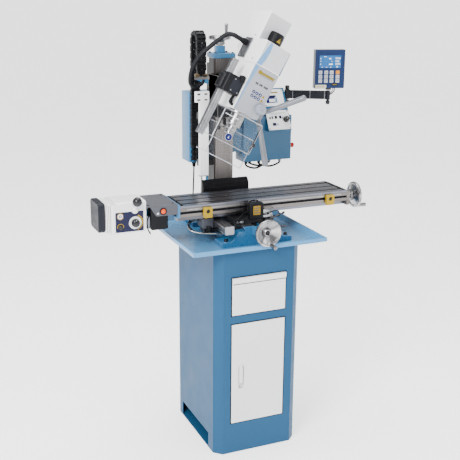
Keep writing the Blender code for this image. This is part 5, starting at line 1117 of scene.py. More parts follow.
bx = prism(rounded(0.1230, 0.2102, 0.3660, 0.2998, 0.0030, 4), 1.1920, 1.3960, "XY")
piece("control_case", bx, m_blue, "stand", ["control_box"], bevel=0.0018, seg=3)
bc = prism(rounded(0.1265, 1.1955, 0.3625, 1.3300, 0.0020, 3), 0.2092, 0.2106, "XZ")
piece("control_case_cover", bc, m_blue, "stand", bevel=0.0005, seg=2)
vents = [box((0.3655, 0.2350, 1.3300 - 0.010 * k), (0.3666, 0.2780, 1.3342 - 0.010 * k)) for k in range(5)]
piece("control_vents", join(*vents), m_black, "stand")
cs = [(0.2099, 1.3300), (0.1815, 1.3300), (0.1788, 1.3312), (0.1780, 1.3340), (0.2715, 1.5113), (0.2732, 1.5132), (0.2752, 1.5140), (0.2842, 1.5140), (0.2860, 1.5122), (0.2860, 1.3964), (0.2099, 1.3964)]
piece("console_case", prism(cs, 0.2350, 0.3515, "YZ"), m_blue, "stand", ["console"], bevel=0.0016, seg=3)
SM = Matrix.Translation((0, 0.1780, 1.3340)) @ Matrix(((1, 0, 0), (0, 0.466239, -0.884659), (0, 0.884659, 0.466239))).to_4x4()


def onslope(name, me, mat, body="stand", **k):
    me.transform(SM)
    return piece(name, me, mat, body, **k)


onslope("console_plate_low", prism(rounded(0.2365, 0.0040, 0.3500, 0.0960, 0.0030, 4), -0.0005, 0.0016, "XY"), m_white, bevel=0.0004, seg=2)
onslope("console_plate_high", prism(rounded(0.2400, 0.1180, 0.3400, 0.1980, 0.0030, 4), -0.0005, 0.0016, "XY"), m_white, bevel=0.0004, seg=2)
for i, (x, t_) in enumerate(((0.2420, 0.0090), (0.3445, 0.0090), (0.2420, 0.0910), (0.3445, 0.0910), (0.2450, 0.1230), (0.3350, 0.1230), (0.2450, 0.1930), (0.3350, 0.1930))):
    p = SM @ Vector((x, t_, 0.0016))
    bolt(p, SM.to_3x3() @ Vector((0, 0, 1)), 0.0030, 0.0014, m_screw, "stand", "console_screw_%d" % i, socket=False)
marks = [("gold", m_pgold, 0.2560, 0.1790, 0.3150, 0.1855), ("panel", m_pblue, 0.2500, 0.1330, 0.2960, 0.1600), ("panel_top", m_navy, 0.2500, 0.1600, 0.3020, 0.1690), ("win", m_pwhite, 0.2650, 0.1370, 0.2940, 0.1520),
         ("side", m_stripe, 0.2980, 0.1330, 0.3060, 0.1580), ("g1", m_pblack, 0.2480, 0.0560, 0.2560, 0.0660), ("g2", m_plate, 0.2600, 0.0560, 0.2680, 0.0700), ("g3", m_pblack, 0.2760, 0.0560, 0.2880, 0.0700),
         ("g4", m_navy, 0.2980, 0.0560, 0.3100, 0.0700), ("g5", m_pblack, 0.3130, 0.0560, 0.3160, 0.0640), ("g6", m_navy, 0.2600, 0.0230, 0.2780, 0.0370), ("g7", m_pblack, 0.2830, 0.0250, 0.2880, 0.0330)]
for nm, mt, x0, t0, x1, t1 in marks:
    onslope("console_print_" + nm, prism(rounded(x0, t0, x1, t1, 0.0012, 2), 0.0014, 0.0021 if nm != "win" else 0.0023, "XY"), mt)
for k in range(3):
    onslope("console_line_%d" % k, box((0.2520, 0.0835 - 0.004 * k, 0.0012), (0.3350 - 0.02 * k, 0.0845 - 0.004 * k, 0.0019)), m_plate)
dc = Vector((0.331, 0.2014, 1.3784))
dn = Vector((0, -0.884659, 0.466239))
piece("dial_skirt", lathe([(0, 0.0190), (0.0095, 0.0190), (0.0108, 0.0180), (0.0118, 0.0080), (0.0145, 0.0055), (0.0145, 0.0018), (0, 0.0018)], dc, dn, 36, ripple=None), m_knob, "speed_dial", ["speed_dial"])
piece("dial_face", lathe([(0, 0.0197), (0.0036, 0.0197), (0.0042, 0.0190), (0, 0.0188)], dc, dn, 32), m_steel, "speed_dial")
for k in range(11):
    a = math.radians(-40 + 26 * k)
    m = box((0.0170, -0.0005, 0.0014), (0.0200, 0.0005, 0.0020))
    m.transform(SM @ Matrix.Translation((0.331, 0.0502, 0)) @ Matrix.Rotation(a, 4, "Z"))
    piece("dial_tick_%d" % k, m, m_pblack, "stand")
piece("stop_base", lathe([(0.0, 0.0085), (0.0095, 0.0085), (0.0120, 0.0070), (0.0130, 0.0030), (0.0150, 0.0022), (0.0152, 0.0), (0, 0)], (0.3659, 0.235, 1.251), (1, 0, 0), 36), m_yellow, "stand")
piece("stop_mushroom", lathe([(0, 0.0268), (0.0050, 0.0264), (0.0090, 0.0240), (0.0112, 0.0195), (0.0116, 0.0165), (0.0104, 0.0140), (0.0080, 0.0118), (0.0076, 0.0048), (0, 0.0048)], (0.3660, 0.235, 1.251), (1, 0, 0), 36), m_red, "stop_button", ["stop_button"])

# DRO arm on its post, and the display at its end
AM = Matrix.Translation((0.366, 0.264, 0)) @ Matrix.Rotation(math.radians(-30), 4, "Z")
ab = prism([(0.0030, 1.4670), (0.1960, 1.4670), (0.1980, 1.4690), (0.1980, 1.5034), (0.1960, 1.5054), (0.0030, 1.5054)], -0.0115, -0.0003, "XZ")
ab = carve(ab, *[box((0.028, -0.0130, 1.4700 + 0.0118 * k), (0.182, -0.0098, 1.4780 + 0.0118 * k)) for k in range(3)])
piece("arm_bar", ab, m_grey, "dro_arm", ["dro_arm"], bevel=0.0010, seg=2, M=AM)
for i, x in enumerate((0.026, 0.105, 0.172)):
    piece("arm_line_%d" % i, box((x, -0.0118, 1.4672), (x + 0.0018, -0.0113, 1.5052)), m_panel, "dro_arm", M=AM)
for i, (x, r_) in enumerate(((0.0, 0.0130), (0.188, 0.0095))):
    piece("arm_barrel_%d" % i, lathe([(0.0, 1.5070), (r_ - 0.0010, 1.5070), (r_, 1.5060), (r_, 1.4656), (r_ - 0.0010, 1.4646), (0, 1.4646)], (x, -0.0003 if i == 0 else -0.0058, 0), (0, 0, 1), 32), m_grey, "dro_arm", M=AM)
piece("arm_post_top", lathe([(0, 0.0200), (0.0075, 0.0195), (0.0105, 0.0160), (0.0110, 0.0040), (0.0070, 0.0), (0, 0)], (0, -0.0003, 1.5068), (0, 0, 1), 8), m_knob, "dro_arm", M=AM, angle=30)
piece("arm_post", cyl((0.366, 0.264, 1.4560), (0.366, 0.264, 1.4700), 0.0062, steps=24), m_steel, "stand")
piece("arm_post_foot", prism(rounded(0.3400, 0.2500, 0.3760, 0.2780, 0.0050, 4), 1.4520, 1.4580, "XY"), m_grey, "stand", bevel=0.001, seg=2)
piece("arm_end_knob", lathe([(0, 0.0220), (0.0060, 0.0215), (0.0100, 0.0180), (0.0105, 0.0080), (0.0060, 0.0030), (0.0060, 0.0), (0, 0)], (0.188, -0.0058, 1.4650), (0, 0, -1), 8), m_knob, "dro_arm", M=AM, angle=30)

DM = Matrix.Translation((0.5261, 0.1652, 1.5123)) @ Matrix.Rotation(math.radians(-14), 4, "Z")
hs2 = prism(rounded(-0.0700, 0.0060, 0.0700, 0.1800, 0.0030, 4), -0.0180, 0.0168, "XZ")
piece("display_case", hs2, m_plate, "dro_display", ["dro_display"], bevel=0.0018, seg=3, M=DM)
piece("display_front", prism(rounded(-0.0685, 0.0075, 0.0685, 0.1785, 0.0025, 3), -0.0190, -0.0178, "XZ"), m_dro, "dro_display", bevel=0.0004, seg=2, M=DM)
piece("display_bezel", carve(prism(rounded(-0.0535, 0.0950, 0.0535, 0.1580, 0.0020, 3), -0.0196, -0.0188, "XZ"), box((-0.0500, -0.03, 0.0985), (0.0500, -0.01, 0.1545))), m_dro, "dro_display", M=DM)
piece("display_screen", prism(rounded(-0.0510, 0.0975, 0.0510, 0.1555, 0.0010, 2), -0.0193, -0.0188, "XZ"), m_screen, "dro_display", M=DM)


def d_print(name, x0, z0, x1, z1, mat, y=-0.0197, r=0.0004, back=-0.0190):
    piece(name, prism(rounded(x0, z0, x1, z1, r, 2), y, back, "XZ"), mat, "dro_display", M=DM)


digits = []
for row in range(3):
    z = 0.1375 - 0.0125 * row
    for k in range(4 if row != 1 else 3):
        x = 0.0245 + 0.0060 * k
        for (a0, b0, a1, b1) in ((0, 0, 0.0042, 0.0012), (0, 0.0034, 0.0042, 0.0046), (0, 0.0068, 0.0042, 0.0080), (0, 0, 0.0011, 0.0080), (0.0031, 0, 0.0042, 0.0080)):
            digits.append(box((x + a0, -0.0198, z + b0), (x + a1, -0.0192, z + b1)))
    digits.append(box((-0.0060 + 0.012 * (row % 2), -0.0198, z), (0.0040 + 0.004 * row, -0.0192, z + 0.0055)))
    digits.append(box((-0.0460, -0.0198, z + 0.001), (-0.0430, -0.0192, z + 0.0055)))
digits.append(box((-0.0300, -0.0198, 0.1480), (-0.0180, -0.0192, 0.1505)))
digits.append(box((0.0300, -0.0198, 0.1010), (0.0360, -0.0192, 0.1060)))
for k in range(3):
    digits.append(box((-0.0400 + 0.020 * k, -0.0198, 0.1010), (-0.0340 + 0.020 * k, -0.0192, 0.1030)))
piece("display_digits", join(*digits), m_pwhite, "dro_display", M=DM)
for r_ in range(3):
    for c_ in range(4):
        x, z = (-0.0445, -0.0175, 0.0083, 0.0364)[c_], (0.0785, 0.0591, 0.0402)[r_]
        k = prism(rounded(x - 0.0086, z - 0.0082, x + 0.0086, z + 0.0082, 0.0020, 4), -0.0206, -0.0186, "XZ")
        piece("display_key_%d_%d" % (r_, c_), k, m_okey if (r_, c_) == (0, 3) else m_key, "dro_display", bevel=0.0006, seg=2, M=DM)
        if (r_, c_) != (0, 3):
            g = [box((x - 0.0040, -0.0209, z - 0.0005), (x + 0.0040, -0.0204, z + 0.0007))]
            if (r_ + c_) % 2:
                g.append(box((x - 0.0006, -0.0209, z - 0.0036), (x + 0.0006, -0.0204, z + 0.0036)))
            piece("display_key_mark_%d_%d" % (r_, c_), join(*g), m_plate, "dro_display", M=DM)
d_print("display_label_dark", 0.0095, 0.0185, 0.0390, 0.0290, m_pblack, r=0.003)
d_print("display_label_dark_text", 0.0150, 0.0225, 0.0335, 0.0255, m_pgold, y=-0.0200)
m_cream = flat_print("label_cream", (0.55, 0.52, 0.36))
d_print("display_label_cream", -0.0660, 0.0085, -0.0150, 0.0225, m_cream)
d_print("display_label_cream_text", -0.0600, 0.0140, -0.0250, 0.0160, m_plate, y=-0.0200)
piece("display_yoke", prism([(-0.0120, -0.0020), (0.0120, -0.0020), (0.0120, 0.0070), (-0.0120, 0.0070)], -0.0080, 0.0080, "XZ"), m_grey, "dro_display", bevel=0.001, seg=2, M=DM)
for i, (x, z) in enumerate(((-0.056, 0.020), (0.056, 0.020), (-0.056, 0.166), (0.056, 0.166))):
    bolt((x, 0.0168, z), (0, 1, 0), 0.0036, 0.0016, m_screw, "dro_display", "display_screw_%d" % i, socket=False, M=DM)
slots_ = [box((-0.040, 0.0160, 0.080 + 0.009 * k), (0.040, 0.0172, 0.084 + 0.009 * k)) for k in range(6)]
piece("display_vents", join(*slots_), m_black, "dro_display", M=DM)
for i, dx in enumerate((0.020, 0.028)):
    w = even(spline([tuple(DM @ Vector((dx, 0.0, 0.0075))), tuple(DM @ Vector((dx + 0.002, 0.004, -0.006))), tuple(DM @ Vector((dx - 0.008, 0.008, -0.020))), tuple(DM @ Vector((0.004, 0.010, -0.028))), tuple(DM @ Vector((-0.010, 0.008, -0.030)))], 30), 0.003)
    lead = piece("display_lead_%d" % i, sweep(w, 0.0026, 10), m_armour if i == 0 else m_rubber, None)
    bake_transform(lead)
# leads hanging below the control box, each held by a gland at both ends
for i, (xa, xb, low) in enumerate(((0.150, 0.238, 1.156), (0.168, 0.268, 1.166), (0.215, 0.322, 1.160))):
    w = even(spline([(xa, 0.240, 1.1925), (xa + 0.002, 0.238, low + 0.013), ((xa + xb) / 2, 0.232, low), (xb - 0.002, 0.238, low + 0.013), (xb, 0.240, 1.1925)], 60), 0.004)
    piece("box_lead_%d" % i, sweep(w, 0.0044, 12), m_rubber, "stand")
    for k, x in enumerate((xa, xb)):
        g = lathe([(0.0046, 0.0150), (0.0066, 0.0150), (0.0074, 0.0135), (0.0074, 0.0060), (0.0092, 0.0055), (0.0092, 0.0), (0.0046, 0.0), (0.0046, 0.0150)], (x, 0.240, 1.1925), (0, 0, -1), 24)
        piece("box_lead_gland_%d_%d" % (i, k), g, m_dome if k else m_black, "stand")

# ---------------------------------------------------------------------- head
def hp_(name, me, mat, body="head", reps=(), **k):
    return piece(name, me, mat, body, reps, M=HM, **k)


low = prism([(-0.0900, -0.0650), (0.0850, -0.0650), (0.0850, 0.1390), (-0.0900, 0.1390)], -0.0580, 0.0612, "YZ")
low = carve(low, cyl((0, -0.040, -0.08), (0, -0.040, 0.02), 0.0330))
hp_("head_casting", low, m_white, reps=["head_body"], bevel=0.0050, seg=4)
hood = [(-0.1000, 0.1370), (-0.1036, 0.1450), (-0.1040, 0.1500), (-0.1040, 0.2330), (-0.1030, 0.2380), (-0.0960, 0.2430), (-0.0900, 0.2440), (0.1460, 0.2440), (0.1500, 0.2400), (0.1500, 0.1940), (0.0880, 0.1520), (0.0850, 0.1480), (0.0850, 0.1370)]
hp_("head_hood", prism(hood, -0.0600, 0.0614, "YZ"), m_white, bevel=0.0040, seg=4)
hp_("hood_side_cover", prism([(y, s_) for y, s_ in ((-0.0990, 0.1395), (-0.1020, 0.1480), (-0.1020, 0.2320), (-0.0950, 0.2410), (0.1440, 0.2415), (0.1480, 0.2370), (0.1480, 0.1960), (0.0860, 0.1530), (0.0820, 0.1395))], 0.0612, 0.0622, "YZ"), m_blue, bevel=0.0008, seg=2)
hp_("head_front_panel", prism(rounded(-0.0562, -0.0642, 0.0616, 0.1368, 0.0030, 3), -0.1000, -0.0890, "XZ"), m_panel, bevel=0.0024, seg=3)
# thin skin on the hood's front in the shaded white: painted shade
hp_("hood_front_shade", prism(rounded(-0.0575, 0.1410, 0.0595, 0.2395, 0.0030, 4), -0.1043, -0.1036, "XZ"), m_front_shade, bevel=0.0002, seg=1)
hp_("hood_side_trim", prism([(0.0566, 0.1385), (0.0615, 0.1385), (0.0615, 0.2385), (0.0600, 0.2385)], -0.1047, -0.1034, "XZ"), m_blue)
hp_("panel_stripe", prism([(-0.0560, -0.0636), (-0.0546, -0.0636), (-0.0480, 0.0600), (-0.0400, 0.1360), (-0.0560, 0.1360)], -0.1005, -0.0996, "XZ"), m_stripe)
hp_("hood_stripe", prism([(-0.0590, 0.1395), (-0.0350, 0.1395), (-0.0270, 0.1700), (-0.0235, 0.2050), (-0.0270, 0.2360), (-0.0310, 0.2400), (-0.0385, 0.2395), (-0.0430, 0.2250), (-0.0500, 0.1850), (-0.0560, 0.1600)], -0.1046, -0.1034, "XZ"), m_stripe)
# printed panel: a gold bar, a plain caption, round signs and warning triangles
txt = []
x = -0.0200
for i, w_ in enumerate((0.0060, 0.0055, 0.0070, 0.0050, 0.0066, 0.0058, 0.0062, 0.0056, 0.0064)):
    txt.append(prism([(x, 0.1090), (x + w_ + 0.0006, 0.1090), (x + w_ + 0.0026, 0.1200), (x + 0.0020, 0.1200)], -0.1006, -0.0998, "XZ"))
    x += w_ + 0.0016
hp_("caption_gold", join(*txt), m_pgold)
hp_("caption_gold_dot", lathe([(0, 0.0009), (0.0088, 0.0009), (0.0088, 0), (0, 0)], (-0.0235, -0.1000, 0.1150), (0, -1, 0), 24), m_pgold)
hp_("caption_rule", box((-0.0150, -0.1004, 0.1052), (0.0480, -0.0998, 0.1068)), m_plate)
txt = []
x = -0.0210
for i, w_ in enumerate((0.0056, 0.0054, 0, 0.0054, 0.0050, 0.0020, 0, 0.0054, 0.0058, 0.0054)):
    if w_:
        txt.append(carve(box((x, -0.1005, 0.0655), (x + w_, -0.0998, 0.0740)), box((x + 0.0020, -0.1010, 0.0682 + 0.0014 * (i % 2)), (x + w_ - 0.0018, -0.0990, 0.0700 + 0.0014 * (i % 2)))) if w_ > 0.0021 else box((x, -0.1005, 0.0655), (x + w_, -0.0998, 0.0740)))
    x += (w_ or 0.0034) + 0.0016
hp_("caption_dark", join(*txt), m_pblack)
for r_, s_ in enumerate((0.0335, 0.0160)):
    for c_, v_ in enumerate((-0.0110, 0.0055, 0.0222)):
        hp_("sign_%d_%d" % (r_, c_), lathe([(0, 0.0006), (0.0070, 0.0006), (0.0070, 0), (0, 0)], (v_, -0.1000, s_), (0, -1, 0), 28), m_pblue)
        hp_("sign_mark_%d_%d" % (r_, c_), join(box((v_ - 0.0020, -0.1011, s_ - 0.0028), (v_ + 0.0020, -0.1005, s_ - 0.0014)), box((v_ - 0.0010, -0.1011, s_ + 0.0002), (v_ + 0.0012, -0.1005, s_ + 0.0026))), m_pwhite)
    v_ = 0.0392
    hp_("triangle_%d" % r_, prism([(v_ - 0.0070, s_ - 0.0056), (v_ + 0.0070, s_ - 0.0056), (v_, s_ + 0.0064)], -0.1006, -0.0998, "XZ"), m_pyel)
    hp_("triangle_mark_%d" % r_, box((v_ - 0.0007, -0.1010, s_ - 0.0032), (v_ + 0.0007, -0.1005, s_ + 0.0022)), m_pblack)
hp_("side_screw", lathe([(0, 0.0026), (0.0030, 0.0022), (0.0036, 0.0006), (0.0036, 0), (0, 0)], (-0.0600, -0.0500, 0.1560), (-1, 0, 0), 20), m_steel)
for i, (y_, s_) in enumerate(((-0.0500, 0.2300), (0.1300, 0.2300), (0.0700, 0.1560))):
    hp_("side_screw_r%d" % i, lathe([(0, 0.0020), (0.0030, 0.0018), (0.0036, 0.0006), (0.0036, 0), (0, 0)], (0.0620, y_, s_), (1, 0, 0), 20), m_steel)
hp_("tilt_flange", lathe([(0, 0.0140), (0.0585, 0.0140), (0.0600, 0.0125), (0.0600, 0.0), (0, 0)], (0, 0.0850, 0), (0, 1, 0), 56), m_carr)
# motor cover, open below, with vent slots at the back
def crown(x0, y0, x1, y1, z0, z1, r, n=5):
    """Box with round corners and a rounded top edge."""
    bm = bmesh.new()
    rows = [[bm.verts.new((x, y, z0)) for x, y in rounded(x0, y0, x1, y1, r, n)]]
    for i in range(6):
        a = math.radians(90 * i / 5)
        d = r * (1 - math.cos(a)) * 0.999
        rows.append([bm.verts.new((x, y, z1 - r + r * math.sin(a))) for x, y in rounded(x0 + d, y0 + d, x1 - d, y1 - d, max(r - d, 0.0004), n)])
    for a, b in zip(rows, rows[1:]):
        for i in range(len(a)):
            j = (i + 1) % len(a)
            bm.faces.new((a[i], a[j], b[j], b[i]))
    bm.faces.new(rows[0])
    bm.faces.new(rows[-1])
    outward(bm)
    return to_mesh(bm)


mc = carve(crown(-0.0580, -0.0080, 0.0560, 0.1760, 0.2443, 0.3720, 0.0068), prism(rounded(-0.0560, -0.0060, 0.0540, 0.1740, 0.0050, 5), 0.2400, 0.3700, "XY"))
mc = carve(mc, *[box((-0.0400, 0.1720, 0.2700 + 0.0110 * k), (0.0380, 0.1800, 0.2750 + 0.0110 * k)) for k in range(7)])
hp_("cover_shell", mc, m_white, reps=["motor_cover"], bevel=0.0006, seg=2, bev_angle=50)
# thin skin on the cover's front in the shaded white: painted shade
hp_("cover_front_shade", prism(rounded(-0.0545, 0.2475, 0.0525, 0.3645, 0.0040, 4), -0.0085, -0.0078, "XZ"), m_front_shade, bevel=0.0003, seg=1)
hp_("cover_screw_l", lathe([(0, 0.0022), (0.0030, 0.0018), (0.0034, 0.0), (0, 0)], (-0.0580, 0.0300, 0.2560), (-1, 0, 0), 20), m_steel)
# spindle cap with grip ribs and a triangle label
capm = lathe([(0.0230, 0.0510), (0.0240, 0.0517), (0.0280, 0.0515), (0.0298, 0.0495), (0.0302, 0.0440), (0.0304, 0.0060), (0.0310, 0.0040), (0.0310, 0.0), (0.0282, 0.0), (0.0276, 0.0470), (0.0230, 0.0490), (0.0230, 0.0510)], (0, -0.0400, 0.2443), (0, 0, 1), 64)
hp_("cap_shell", capm, m_black, reps=["spindle_cap"])
hp_("cap_top", lathe([(0, 0.0500), (0.0236, 0.0500), (0.0236, 0.0490), (0, 0.0490)], (0, -0.0400, 0.2443), (0, 0, 1), 48), m_black)
ribs = []
for k in range(36):
    a = 2 * math.pi * k / 36
    m = box((0.0300, -0.0010, 0.0070), (0.0311, 0.0010, 0.0440))
    m.transform(Matrix.Translation((0, -0.0400, 0.2443)) @ Matrix.Rotation(a, 4, "Z"))
    if not -115 < ((math.degrees(a) + 180) % 360 - 180) < -45:
        ribs.append(m)
hp_("cap_ribs", join(*ribs), m_black)


def wrapped(pts, r, zc, a_c):
    """Flat outline (arc length, height) wrapped on a cylinder about the spindle axis."""
    bm = bmesh.new()
    inner_, outer_ = [], []
    for u, h_ in pts:
        a = a_c + u / r
        inner_.append(bm.verts.new(((r - 0.0004) * math.cos(a), -0.040 + (r - 0.0004) * math.sin(a), zc + h_)))
        outer_.append(bm.verts.new((r * math.cos(a), -0.040 + r * math.sin(a), zc + h_)))
    bm.faces.new(inner_[::-1])
    bm.faces.new(outer_)
    for i in range(len(pts)):
        j = (i + 1) % len(pts)
        bm.faces.new((inner_[i], inner_[j], outer_[j], outer_[i]))
    bmesh.ops.recalc_face_normals(bm, faces=bm.faces)
    return to_mesh(bm)


AC = math.radians(-80)
hp_("cap_triangle", join(*[wrapped([(-0.0110 + 0.0022 * k, -0.0095), (-0.0110 + 0.0022 * (k + 1), -0.0095), (-0.0110 + 0.0022 * (k + 1), -0.0095 + max(0.0002, 0.0190 * (1 - abs(-0.0110 + 0.0022 * (k + 1)) / 0.0110))),
                                    (-0.0110 + 0.0022 * k, -0.0095 + max(0.0002, 0.0190 * (1 - abs(-0.0110 + 0.0022 * k) / 0.0110)))], 0.0312, 0.2680, AC) for k in range(10)]), m_pyel)
hp_("cap_triangle_mark", wrapped([(-0.0010, -0.0050), (0.0010, -0.0050), (0.0010, 0.0040), (-0.0010, 0.0040)], 0.0315, 0.2680, AC), m_pblack)
# hose plate and the ribbed elbow of the hose
hpl = carve(prism(rounded(0.0250, 0.1500, 0.0900, 0.2400, 0.0030, 3), -0.0650, -0.0604, "YZ"))
hp_("hose_plate_sheet", hpl, m_alu, reps=["hose_plate"], bevel=0.0008, seg=2)
hp_("hose_plate_rim", carve(prism(rounded(0.0250, 0.1500, 0.0900, 0.2400, 0.0030, 3), -0.0665, -0.0640, "YZ"), prism(rounded(0.0285, 0.1540, 0.0865, 0.2360, 0.0020, 3), -0.08, -0.05, "YZ")), m_plate, bevel=0.0005, seg=2)
for i, (y_, s_) in enumerate(((0.0330, 0.1600), (0.0820, 0.1600), (0.0330, 0.2320), (0.0820, 0.2320))):
    hp_("hose_plate_screw_%d" % i, lathe([(0, 0.0022), (0.0032, 0.0020), (0.0038, 0.0004), (0.0038, 0), (0, 0)], (-0.0648, y_, s_), (-1, 0, 0), 20), m_steel)
hp_("hose_gland", lathe([(0.0100, 0.0230), (0.0120, 0.0230), (0.0126, 0.0210), (0.0126, 0.0150), (0.0120, 0.0145), (0.0120, 0.0120), (0.0134, 0.0115), (0.0134, 0.0), (0.0100, 0.0), (0.0100, 0.0230)], (-0.0648, 0.0600, 0.2150), (-1, 0, 0), 32), m_black)
# feed knob, capstan
kn = lathe([(0, 0.0285), (0.0120, 0.0280), (0.0185, 0.0255), (0.0225, 0.0205), (0.0245, 0.0140), (0.0250, 0.0060), (0.0235, 0.0006), (0, 0.0004)], (0.0480, -0.1000, -0.0180), (0, -1, 0), 14)
hp_("clutch_dome", kn, m_dome, "clutch_knob", ["feed_clutch_knob"], angle=60, bevel=0.0012, bev_angle=12)
hp_("clutch_dome_screw", lathe([(0, 0.0022), (0.0030, 0.0020), (0.0034, 0.0), (0, 0)], (0.0480, -0.1284, -0.0180), (0, -1, 0), 20), m_steel, "clutch_knob")
HB = Vector((0.0620, -0.0300, -0.0375))
hb_ = lathe([(0, 0.0420), (0.0160, 0.0418), (0.0210, 0.0405), (0.0226, 0.0380), (0.0230, 0.0340), (0.0232, 0.0140), (0.0250, 0.0110), (0.0278, 0.0095), (0.0280, 0.0065), (0.0280, 0.0012), (0.0270, 0.0004), (0, 0.0004)], HB, (1, 0, 0), 56)
hp_("capstan_hub", hb_, m_handle, "capstan", ["quill_capstan"])
hp_("capstan_centre", lathe([(0, 0.0060), (0.0045, 0.0058), (0.0050, 0.0050), (0.0070, 0.0048), (0.0072, 0.0), (0, 0)], HB + Vector((0.0415, 0, 0)), (1, 0, 0), 24), m_screw, "capstan")
gm = []
for k in range(60):
    m = box((0.0098, -0.0002, 0.0279), (0.0098 - 0.0012 - (0.0042 if k % 5 == 0 else 0.0026), 0.0002, 0.0283))
    m.transform(Matrix.Translation(HB) @ Matrix.Rotation(2 * math.pi * k / 60, 4, "X"))
    gm.append(m)
hp_("capstan_dial_marks", join(*gm), m_pblack, "capstan")
sn, cn = math.sin(math.radians(28.5)), math.cos(math.radians(28.5))
for i in range(3):
    a = math.radians(38.4 + 120 * i)
    d = Vector((sn, -math.sin(a) * cn, math.cos(a) * cn))
    b0 = HB + Vector((0.0260, 0, 0))
    prof = [(0, 0.2180), (0.0060, 0.2176), (0.0100, 0.2160), (0.0118, 0.2135), (0.0125, 0.2090), (0.0125, 0.2000), (0.0120, 0.1500), (0.0108, 0.1000), (0.0098, 0.0600), (0.0090, 0.0340),
            (0.0084, 0.0300), (0.0070, 0.0290), (0.0070, 0.0270), (0.0085, 0.0265), (0.0085, 0.0120), (0, 0.0120)]
    hp_("capstan_handle_%d" % i, lathe(prof, b0, d, 36), m_handle, "capstan")
# the head and spindle noses below the casting
hp_("quill_collar", lathe([(0.0302, 0.0), (0.0480, 0.0), (0.0490, -0.0012), (0.0490, -0.0060), (0.0470, -0.0085), (0.0302, -0.0085), (0.0302, 0.0)], (0, -0.0400, -0.0650), (0, 0, 1), 48), m_steel)
hp_("quill_nose_ring", lathe([(0.0215, -0.1270), (0.0300, -0.1270), (0.0305, -0.1262), (0.0305, -0.1200), (0.0300, -0.1192), (0.0296, -0.1192), (0.0296, -0.1250), (0.0215, -0.1262), (0.0215, -0.1270)], (0, -0.0400, 0), (0, 0, 1), 48), m_alu, "quill")
hp_("spindle_flats", carve(lathe([(0.0, -0.1400), (0.0222, -0.1400), (0.0226, -0.1408), (0.0226, -0.1500), (0.0222, -0.1508), (0.0, -0.1508), (0.0, -0.1400)], (0, -0.0400, 0), (0, 0, 1), 6)), m_steel, "spindle", angle=30)

# ---------------------------------------------------------------- chip guard
sw = carve(prism(rounded(-0.1380, -0.0860, -0.0605, -0.0100, 0.0100, 6), -0.0170, 0.0580, "XY"), cyl((-0.1200, -0.0325, -0.03), (-0.1200, -0.0325, 0.07), 0.0190, steps=48))
hp_("guard_switch_case", sw, m_black, reps=["guard_switch"], bevel=0.0030, seg=4)
hp_("guard_collar", lathe([(0.0196, 0.0500), (0.0285, 0.0500), (0.0310, 0.0475), (0.0310, 0.0340), (0.0298, 0.0330), (0.0298, 0.0290), (0.0310, 0.0280), (0.0310, -0.0080), (0.0285, -0.0110), (0.0196, -0.0110), (0.0196, 0.0500)], (-0.1200, -0.0325, 0), (0, 0, 1), 48), m_black)
hp_("guard_lobe", prism(rounded(-0.0820, 0.0400, -0.0640, 0.0720, 0.0080, 6), -0.0920, -0.0600, "XZ"), m_black, bevel=0.0020, seg=3)
hp_("guard_cover_line", box((-0.1100, -0.0868, -0.0100), (-0.0640, -0.0858, 0.0500)), m_grey, bevel=0.0005, seg=2)
for i, (v_, s_) in enumerate(((-0.1020, -0.0040), (-0.0700, -0.0040), (-0.1020, 0.0440))):
    hp_("guard_switch_screw_%d" % i, lathe([(0, 0.0016), (0.0026, 0.0014), (0.0032, 0), (0, 0)], (v_, -0.0864, s_), (0, -1, 0), 20), m_steel)
ly = -0.0700
hp_("guard_lever", prism([(-0.0760, -0.0170), (-0.0660, -0.0170), (-0.0690, -0.0330), (-0.0640, -0.0450), (-0.0500, -0.0480), (-0.0500, -0.0560), (-0.0680, -0.0560), (-0.0790, -0.0480), (-0.0790, -0.0350)], ly - 0.0060, ly + 0.0060, "XZ"), m_black, bevel=0.0020, seg=3)
hp_("guard_lever_end", lathe([(0, 0.0080), (0.0058, 0.0075), (0.0068, 0.0055), (0.0068, -0.0055), (0.0058, -0.0075), (0, -0.0080)], (-0.0500, ly, -0.0520), (0, -1, 0), 24), m_black)
ch = [(-0.1340, -0.0205), (-0.1340, -0.0445), (-0.1060, -0.0445), (-0.1060, -0.0205), (-0.1100, -0.0205), (-0.1100, -0.0405), (-0.1300, -0.0405), (-0.1300, -0.0205)]
hp_("guard_channel", prism(ch, -0.2170, 0.1190, "XY"), m_alu, "guard", ["guard_rail"], bevel=0.0006, seg=2)
hp_("guard_channel_groove", join(box((-0.1344, -0.0350, -0.2160), (-0.1339, -0.0340, 0.1180)), box((-0.1344, -0.0300, -0.2160), (-0.1339, -0.0290, 0.1180))), m_plate, "guard")
hp_("guard_channel_front_lines", join(box((-0.1262, -0.0449, -0.2160), (-0.1250, -0.0444, 0.1180)), box((-0.1152, -0.0449, -0.2160), (-0.1140, -0.0444, 0.1180)), box((-0.1075, -0.0449, -0.2160), (-0.1063, -0.0444, 0.1180))), m_plate, "guard")
hp_("guard_channel_end", prism(rounded(-0.1346, -0.0451, -0.1054, -0.0199, 0.0020, 3), 0.1188, 0.1210, "XY"), m_plate, "guard", bevel=0.0005, seg=2)


def sheet(s0, s1, fr, le, ri, th, bl, brt, corner=0.006):
    """Three-sided clear sheet seen from above: left wall, front, right wall with rounded corners."""
    def arc_(cx, cy, r, a0, a1, n=6):
        return [(cx + r * math.cos(math.radians(a0 + (a1 - a0) * i / n)), cy + r * math.sin(math.radians(a0 + (a1 - a0) * i / n))) for i in range(n + 1)]
    out = [(le, bl)] + arc_(le + corner, fr + corner, corner, 180, 270) + arc_(ri - corner, fr + corner, corner, 270, 360) + [(ri, brt)]
    ci = corner - th
    inn_ = [(le + th, bl)] + arc_(le + corner, fr + corner, ci, 180, 270) + arc_(ri - corner, fr + corner, ci, 270, 360) + [(ri - th, brt)]
    return prism(out + inn_[::-1], s0, s1, "XY")


